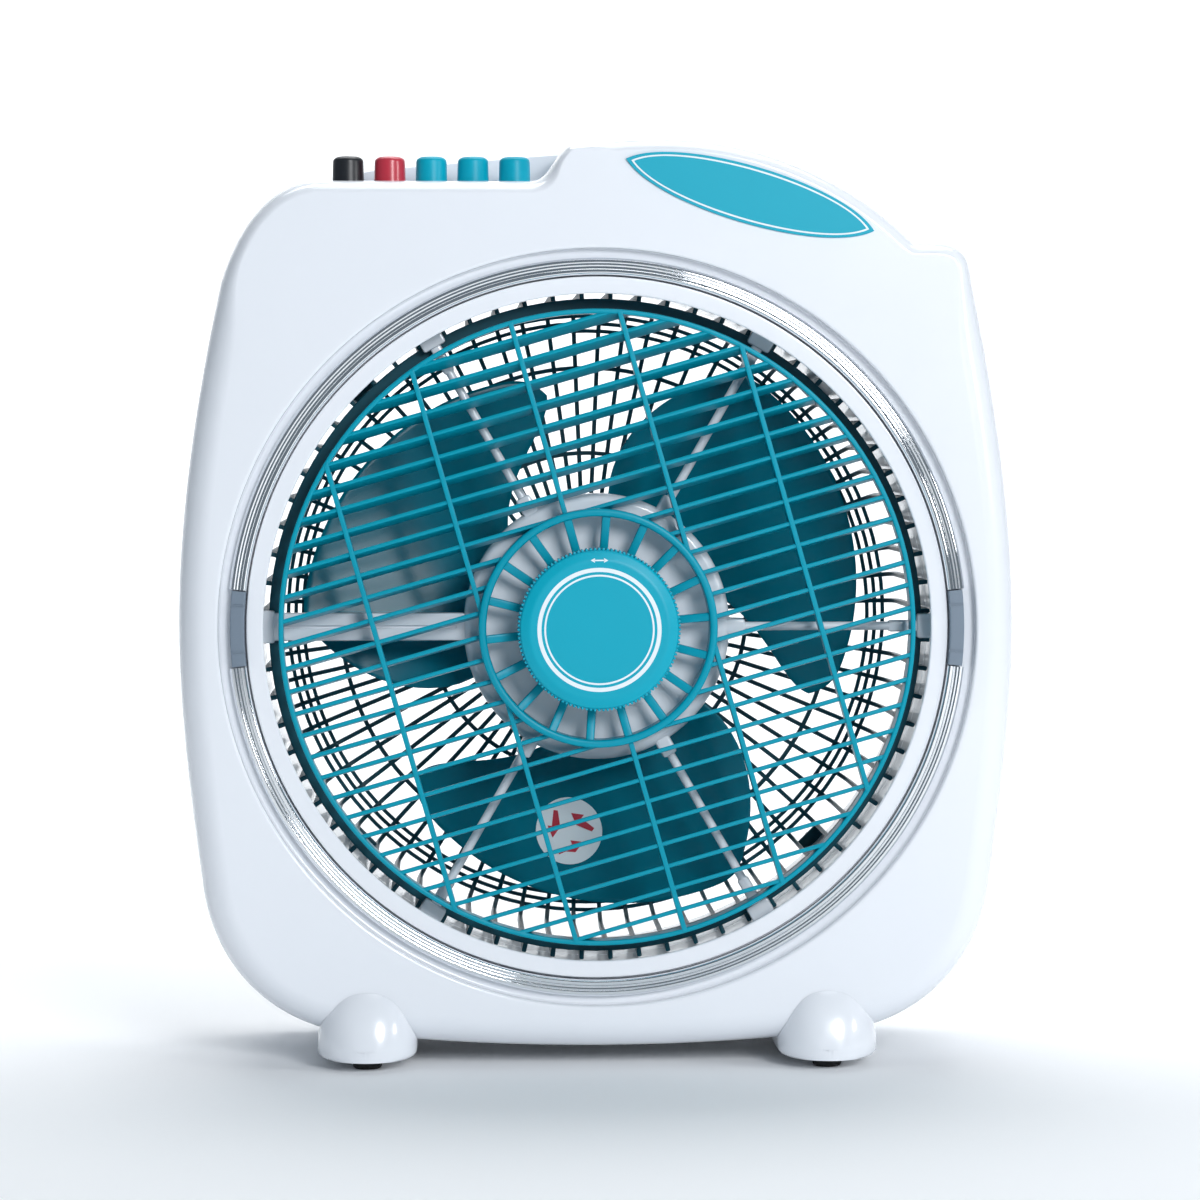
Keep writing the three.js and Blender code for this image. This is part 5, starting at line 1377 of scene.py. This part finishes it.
class FAN_OT_rear_grille(bpy.types.Operator):
    """Rear grille: radial bars, rings, motor plate and screw ears, with the round cover on its back"""

    bl_idname = "fan.rear_grille"
    bl_label = "Rear grille"

    def execute(self, context):
        sizes = context.scene.fan_sizes
        radius = GRILLE_HIGH.x + 0.5 * MM
        corner = GRILLE_CORNER
        plate_radius = MOTOR_PLATE_RADIUS
        teal = dark_teal()
        bars = polar(self.bar(radius, corner, plate_radius), sizes.grille_bars, teal,
                     start=TAU / 2 / sizes.grille_bars)
        bars.name = "rear_basket"
        rim = lathe("rim", band(radius - 9.6 * MM, radius - 3.9 * MM, RIM_FRONT, RIM_FRONT + 4 * MM),
                    0.8 * MM, 144)
        plate = lathe("plate", [(7 * MM, BACK - 13 * MM), (plate_radius, BACK - 13 * MM), (plate_radius, BACK),
                                (plate_radius - 2.4 * MM, BACK), (plate_radius - 2.4 * MM, BACK - 10 * MM),
                                (7 * MM, BACK - 10 * MM)], 0.7 * MM, 96)
        union(bars, rim, plate)
        for ring_radius in BACK_RINGS:
            union(bars, lathe("ring", band(ring_radius - 1 * MM, ring_radius + 1 * MM, BACK - 2.8 * MM,
                                           BACK - 0.2 * MM), 0.4 * MM, 120))
        bend = radius - corner
        for ring_radius in CORNER_RINGS:
            y = BACK - corner + math.sqrt((corner - 1.5 * MM) ** 2 - (ring_radius - bend) ** 2)
            union(bars, lathe("ring", band(ring_radius - 0.9 * MM, ring_radius + 0.9 * MM, y - 0.9 * MM,
                                           y + 0.9 * MM), 0.4 * MM, 120))
        low, high = EAR_PLACES[0]
        seat = high.y - SCREW_HEAD
        hole_radius = math.hypot((low.x + high.x) / 2, (low.z + high.z) / 2 - AXIS_Z)
        ear = box("ear", (radius - 3 * MM, seat - 2.5 * MM, -7 * MM),
                  (hole_radius + 5.5 * MM, seat, 7 * MM), 0.8 * MM)
        gusset = box("gusset", (radius - 2.6 * MM, seat - 2 * MM, -1 * MM),
                     (radius + 3 * MM, seat + 4 * MM, 1 * MM), 0.5 * MM)
        hole = lathe("hole", disc(SCREW_CLEARANCE, seat - 6 * MM, seat + 2 * MM), sides=24)
        moved(hole, Matrix.Translation((hole_radius, 0, 0)))
        union(bars, polar(ear, 4, teal, start=EAR_TURN), polar(gusset, 4, teal, start=EAR_TURN))
        cut(bars, polar(hole, 4, teal, start=EAR_TURN))
        finished(on_axis(bars), teal, "cabinet", "rear_grille")
        self.cover()
        return {"FINISHED"}

    def bar(self, radius, corner, plate_radius):
        """One bar, from the front rim round the corner to the plate, as an upright slab."""
        thick = 3 * MM
        outer = [(radius, RIM_FRONT + 1 * MM)]
        inner = [(radius - 4.6 * MM, RIM_FRONT + 1 * MM), (radius - 4.6 * MM, RIM_FRONT + 3.4 * MM),
                 (radius - thick, RIM_FRONT + 5 * MM)]
        for k in range(9):
            turn = math.pi / 2 * k / 8
            centre = (radius - corner, BACK - corner)
            outer.append((centre[0] + corner * math.cos(turn), centre[1] + corner * math.sin(turn)))
            inner.append((centre[0] + (corner - thick) * math.cos(turn),
                          centre[1] + (corner - thick) * math.sin(turn)))
        outer.append((plate_radius - 1 * MM, BACK))
        inner.append((plate_radius - 1 * MM, BACK - thick))
        bar = slab("bar", outer + inner[::-1], -1 * MM, 1 * MM, 0.4 * MM, 1)
        return moved(bar, Matrix.Rotation(-math.pi / 2, 4, "X"))

    def cover(self):
        """The round cover behind the motor, with rings pressed into it."""
        low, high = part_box("motor_cover")
        radius = high.x
        profile = [(0, low.y), (radius, low.y), (radius, high.y)]
        for k in range(4):
            r = radius - (6 + 8 * k) * MM
            profile += [(r, high.y), (r - 0.6 * MM, high.y - 0.8 * MM), (r - 1.6 * MM, high.y - 0.8 * MM),
                        (r - 2.2 * MM, high.y)]
        profile.append((0, high.y))
        cover = lathe("basket_lid", profile, 0.5 * MM, 96, 2)
        finished(on_axis(cover), dark_teal(), "cabinet", "motor_cover")


# ---------------------------------------------------------------------------
# Buttons, badge, feet and small parts
# ---------------------------------------------------------------------------

class FAN_OT_controls(bpy.types.Operator):
    """Five push buttons on their plungers, the switch block and the capacitor"""

    bl_idname = "fan.controls"
    bl_label = "Controls"

    def execute(self, context):
        for label in BUTTONS:
            low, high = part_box(f"button_{label}")
            radius = (high.x - low.x) / 2
            height = high.z - low.z
            key = lathe(f"key_{label}", [(0, 0), (radius, 0), (radius - 0.4 * MM, height - 1.6 * MM),
                                         (radius - 2.2 * MM, height - 0.3 * MM), (0, height)], 1.8 * MM, 64, 5)
            upright(key, (low.x + high.x) / 2, (low.y + high.y) / 2, low.z)
            finish = BUTTON_FINISHES.get(label, knob_teal)
            finished(key, finish(), f"key_{label}", f"button_{label}")
            low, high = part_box(f"plunger_{label}")
            stem = box(f"stem_{label}", low, high, 0.5 * MM)
            finished(stem, black_plastic(), f"key_{label}", f"plunger_{label}")
        block = copied("switch_unit", "switch_block", 0.7 * MM)
        finished(block, switch_cream(), "cabinet", "switch_block")
        can = copied("capacitor_can", "capacitor", 1.6 * MM)
        finished(can, black_plastic(), "cabinet", "capacitor")
        return {"FINISHED"}


BADGE_TILT = math.radians(16)
BADGE_RISE = 12.5 * MM
FOOT_HEIGHT = 34.5 * MM
FOOT_TIP = 20 * MM


class FAN_OT_badge(bpy.types.Operator):
    """Blank badge: a pointed oval with a white line inside its rim"""

    bl_idname = "fan.badge"
    bl_label = "Badge"

    def execute(self, context):
        low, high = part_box("badge")
        half = (high.x - low.x) / 2 / math.cos(BADGE_TILT)
        base = slab("blank_badge", self.outline(half, BADGE_RISE), low.y + 0.4 * MM, FACE + 0.3 * MM,
                    0.3 * MM)
        line = slab("badge_line", self.outline(half - 2.4 * MM, BADGE_RISE - 1.2 * MM), low.y + 0.2 * MM,
                    FACE, 0.05 * MM, 1)
        fill = slab("badge_field", self.outline(half - 3.7 * MM, BADGE_RISE - 2 * MM), low.y, FACE,
                    0.1 * MM, 2)
        place = across_from(low, high) @ Matrix.Rotation(BADGE_TILT, 4, "Y")
        finished(moved(base, place), knob_teal(), "cabinet", "badge")
        finished(moved(line, place), print_white(), "cabinet", slot="knob_teal")
        finished(moved(fill, place), knob_teal(), "cabinet")
        return {"FINISHED"}

    def outline(self, half, rise):
        """A pointed oval, anticlockwise: a curve below and a curve above."""
        path = Outline(-half / MM, 0)
        lift = rise / MM * 4 / 3
        third = half / MM * 0.68
        path.curve(-third, -lift, third, -lift, half / MM, 0)
        path.curve(third, lift, -third, lift, -half / MM, 0)
        return path.metres()


class FAN_OT_feet(bpy.types.Operator):
    """Domed feet on rubber pads, and the cord gland"""

    bl_idname = "fan.feet"
    bl_label = "Feet and gland"

    def execute(self, context):
        sizes = context.scene.fan_sizes
        for side in ("left", "right"):
            foot = self.dome(f"foot_dome_{side}", f"foot_{side}")
            cut(foot, self.belly(sizes))
            finished(foot, white_shell(), "cabinet", f"foot_{side}", crease=45)
            for end in ("front", "rear"):
                low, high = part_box(f"pad_{side}_{end}")
                radius = (high.x - low.x) / 2
                height = high.z - low.z
                pad = lathe(f"rubber_{side}_{end}", [(0, 0), (radius - 1 * MM, 0), (radius, 1 * MM),
                                                     (radius, height), (0, height)], 0.6 * MM, 48)
                upright(pad, (low.x + high.x) / 2, (low.y + high.y) / 2, low.z)
                finished(pad, rubber(), "cabinet", f"pad_{side}_{end}")
        self.gland()
        return {"FINISHED"}

    def dome(self, name, node):
        """A long loaf with a flat sole, rounded over its top and both ends."""
        low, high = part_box(node)
        x = (low.x + high.x) / 2
        width = (high.x - low.x) / 2
        height = FOOT_HEIGHT
        tip = FOOT_TIP
        loops = []
        for k in range(-16, 17):
            turn = math.pi / 2 * k / 16.4
            size = math.cos(turn)
            end = (low.y + tip) if k < 0 else (high.y - tip)
            y = end + tip * math.sin(turn)
            loops.append(self.section(x, y, low.z, width * size, height * size))
            if k == 0:
                loops.insert(-1, self.section(x, low.y + tip, low.z, width, height))
        return loft(name, loops)

    def section(self, x, y, sole, width, height):
        """A half round over a flat sole whose corners are tucked in."""
        loop = []
        for k in range(33):
            turn = math.pi * k / 32
            squash = abs(math.cos(turn)) ** 0.85 * (1 if math.cos(turn) > 0 else -1)
            loop.append(Vector((x + width * squash, y, sole + 6 * MM + (height - 6 * MM) * math.sin(turn))))
        tucks = ((0.985, 3.6), (0.93, 2.1), (0.84, 1.2))
        for share, rise in [(-share, rise) for share, rise in tucks] + list(reversed(tucks)):
            loop.append(Vector((x + width * share, y, sole + rise * MM)))
        return loop

    def belly(self, sizes):
        """The body's solid shape, a hair larger, for trimming the feet."""
        outline = body_outline(with_ledge=False)
        grown = inset(outline, -GAP)
        front = edge_loops(grown, FACE - GAP, sizes.edge_depth, edge_reach(outline, sizes.edge_inset))
        back = edge_loops(grown, BODY_BACK + GAP, -BACK_EDGE_DEPTH, edge_reach(outline, BACK_EDGE_INSET))
        return loft("belly", list(reversed(front)) + back)

    def gland(self):
        """The flanged bush that the cord leaves through."""
        low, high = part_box("cord_gland")
        radius = (high.x - low.x) / 2
        gland = lathe("cord_bush", [(3.2 * MM, low.y), (5.9 * MM, low.y), (5.9 * MM, BODY_BACK + GAP),
                                    (radius, BODY_BACK + GAP), (radius - 0.6 * MM, BODY_BACK + 2.2 * MM),
                                    (5.2 * MM, high.y), (3.2 * MM, high.y)], 0.6 * MM, 48)
        moved(gland, across_from(low, high))
        finished(gland, black_plastic(), "cabinet", "cord_gland")


class FAN_OT_screws(bpy.types.Operator):
    """Pan-head screws with a cross recess, in one mesh for each group"""

    bl_idname = "fan.screws"
    bl_label = "Screws"

    def execute(self, context):
        groups = {"case_screws": [f"housing_screw_{i}" for i in range(1, 7)],
                  "basket_screws": [f"grille_screw_{i}" for i in range(1, 5)],
                  "block_screws": ["switch_screw_1", "switch_screw_2"]}
        for name, nodes in groups.items():
            low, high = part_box(nodes[0])
            length = high.y - low.y - SCREW_HEAD
            template = self.screw((high.x - low.x) / 2, length)
            places = []
            for node in nodes:
                low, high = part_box(node)
                places.append(((low.x + high.x) / 2, high.y - SCREW_HEAD, (low.z + high.z) / 2))
            group = mesh_object(name, places, [])
            run_tree(group, placed_tree(), template=template, material=steel())
            bpy.data.objects.remove(template)
            finished(group, steel(), "cabinet", *nodes)
        return {"FINISHED"}

    def screw(self, radius, length):
        """A screw that points towards the front, with the seat of its head at the origin."""
        shank = 1.8 * MM
        screw = lathe("screw", [(0, -length), (0.5 * MM, -length), (shank, 3 * MM - length), (shank, 0),
                                (radius, 0), (radius, 0.9 * MM), (radius - 1.1 * MM, SCREW_HEAD),
                                (0, SCREW_HEAD)],
                      0.4 * MM, 24, 2)
        for wide, tall in ((2.2 * MM, 0.45 * MM), (0.45 * MM, 2.2 * MM)):
            cut(screw, box("cross", (-wide, SCREW_HEAD - 1.2 * MM, -tall),
                           (wide, SCREW_HEAD + 1 * MM, tall), 0.1 * MM))
        return screw


# ---------------------------------------------------------------------------
# Stage
# ---------------------------------------------------------------------------

CAMERA_PLACE = Vector((-0.065, FACE - 1.7, AXIS_Z + 0.08))
CAMERA_TARGET = Vector((0.0007, FACE, 0.2065))
FRAME_WIDTH = 0.525
SENSOR = 36
WALL_AT = 2.5
WALL_BEND = 1.5


class FAN_OT_stage(bpy.types.Operator):
    """Pale floor with a curved backdrop, soft lights and the camera"""

    bl_idname = "fan.stage"
    bl_label = "Stage"

    def execute(self, context):
        scene = context.scene
        self.backdrop()
        world = scene.world or bpy.data.worlds.new("World")
        scene.world = world
        world.use_nodes = True
        sky = world.node_tree.nodes["Background"]
        sky.inputs["Color"].default_value = (0.72, 0.86, 1.0, 1.0)
        sky.inputs["Strength"].default_value = 0.21
        self.light("key", (0.8, -2.35, 1.05), (0, 0, 0.2), 0.9, 37, (0.97, 0.985, 1.0))
        self.light("strip", (1.5, -0.9, 0.6), (0.1, 0, 0.2), 0.35, 4.5, (1.0, 0.99, 0.98))
        self.light("top", (0.2, -0.1, 2.2), (0, 0.1, 0.2), 1.0, 6, (0.95, 0.98, 1.0))
        self.light("wash", (0, 0.9, 2.0), (0, 2.2, 0.5), 2.0, 50, (1.0, 1.0, 1.0))
        scene.view_settings.view_transform = "Standard"
        lens = bpy.data.cameras.new("camera")
        camera = bpy.data.objects.new("camera", lens)
        scene.collection.objects.link(camera)
        camera.location = CAMERA_PLACE
        target = CAMERA_TARGET
        view = target - camera.location
        camera.rotation_euler = view.to_track_quat("-Z", "Y").to_euler()
        lens.sensor_width = SENSOR
        lens.lens = SENSOR * view.length / FRAME_WIDTH
        scene.camera = camera
        return {"FINISHED"}

    def light(self, name, place, target, size, power, colour):
        data = bpy.data.lights.new(name, "AREA")
        data.shape = "DISK"
        data.size = size
        data.energy = power
        data.color = colour
        lamp = bpy.data.objects.new(name, data)
        bpy.context.scene.collection.objects.link(lamp)
        lamp.location = place
        lamp.rotation_euler = (Vector(target) - Vector(place)).to_track_quat("-Z", "Y").to_euler()

    def backdrop(self):
        """A floor that curves up into a wall behind the fan."""
        bend_start = WALL_AT - WALL_BEND
        line = [(-4.0, 0.0), (bend_start, 0.0)]
        for k in range(1, 25):
            turn = math.pi / 2 * k / 24
            line.append((bend_start + WALL_BEND * math.sin(turn), WALL_BEND * (1 - math.cos(turn))))
        line.append((WALL_AT, 4.5))
        points = [(x, y, z) for x in (-4.5, 4.5) for y, z in line]
        count = len(line)
        faces = [(i, count + i, count + i + 1, i + 1) for i in range(count - 1)]
        floor = mesh_object("backdrop", points, faces)
        floor.data.shade_smooth()
        floor.data.materials.append(surface("paper", (0.93, 0.94, 0.95), 0.9, relief=0.02 * MM, drift=0.004))
        return floor


# ---------------------------------------------------------------------------
# Panel, registration and the build
# ---------------------------------------------------------------------------

OPERATORS = (FAN_OT_front_housing, FAN_OT_rear_housing, FAN_OT_duct_and_trim, FAN_OT_louvre, FAN_OT_knob,
             FAN_OT_bracket, FAN_OT_blade, FAN_OT_motor, FAN_OT_rear_grille, FAN_OT_controls, FAN_OT_badge,
             FAN_OT_feet, FAN_OT_screws, FAN_OT_stage)


class FAN_PT_panel(bpy.types.Panel):
    """Lists the sizes, the colours and a button for every piece"""

    bl_idname = "FAN_PT_panel"
    bl_label = "Box fan"
    bl_space_type = "VIEW_3D"
    bl_region_type = "UI"
    bl_category = "Box fan"

    def draw(self, context):
        layout = self.layout
        for group in (context.scene.fan_sizes, context.scene.fan_colours):
            column = layout.column()
            for name in group.bl_rna.properties.keys():
                if name not in ("rna_type", "name"):
                    column.prop(group, name)
        for operator in OPERATORS:
            layout.operator(operator.bl_idname)


CLASSES = (FanSizes, FanColours, *OPERATORS, FAN_PT_panel)


def register():
    for cls in CLASSES:
        bpy.utils.register_class(cls)
    bpy.types.Scene.fan_sizes = PointerProperty(type=FanSizes)
    bpy.types.Scene.fan_colours = PointerProperty(type=FanColours)


def unregister():
    del bpy.types.Scene.fan_colours
    del bpy.types.Scene.fan_sizes
    for cls in reversed(CLASSES):
        bpy.utils.unregister_class(cls)


def main():
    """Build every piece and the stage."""
    register()
    for operator in OPERATORS:
        group, name = operator.bl_idname.split(".")
        result = getattr(getattr(bpy.ops, group), name)()
        if result != {"FINISHED"}:
            raise RuntimeError(f"{operator.bl_idname} did not finish")


if __name__ == "__main__":
    main()
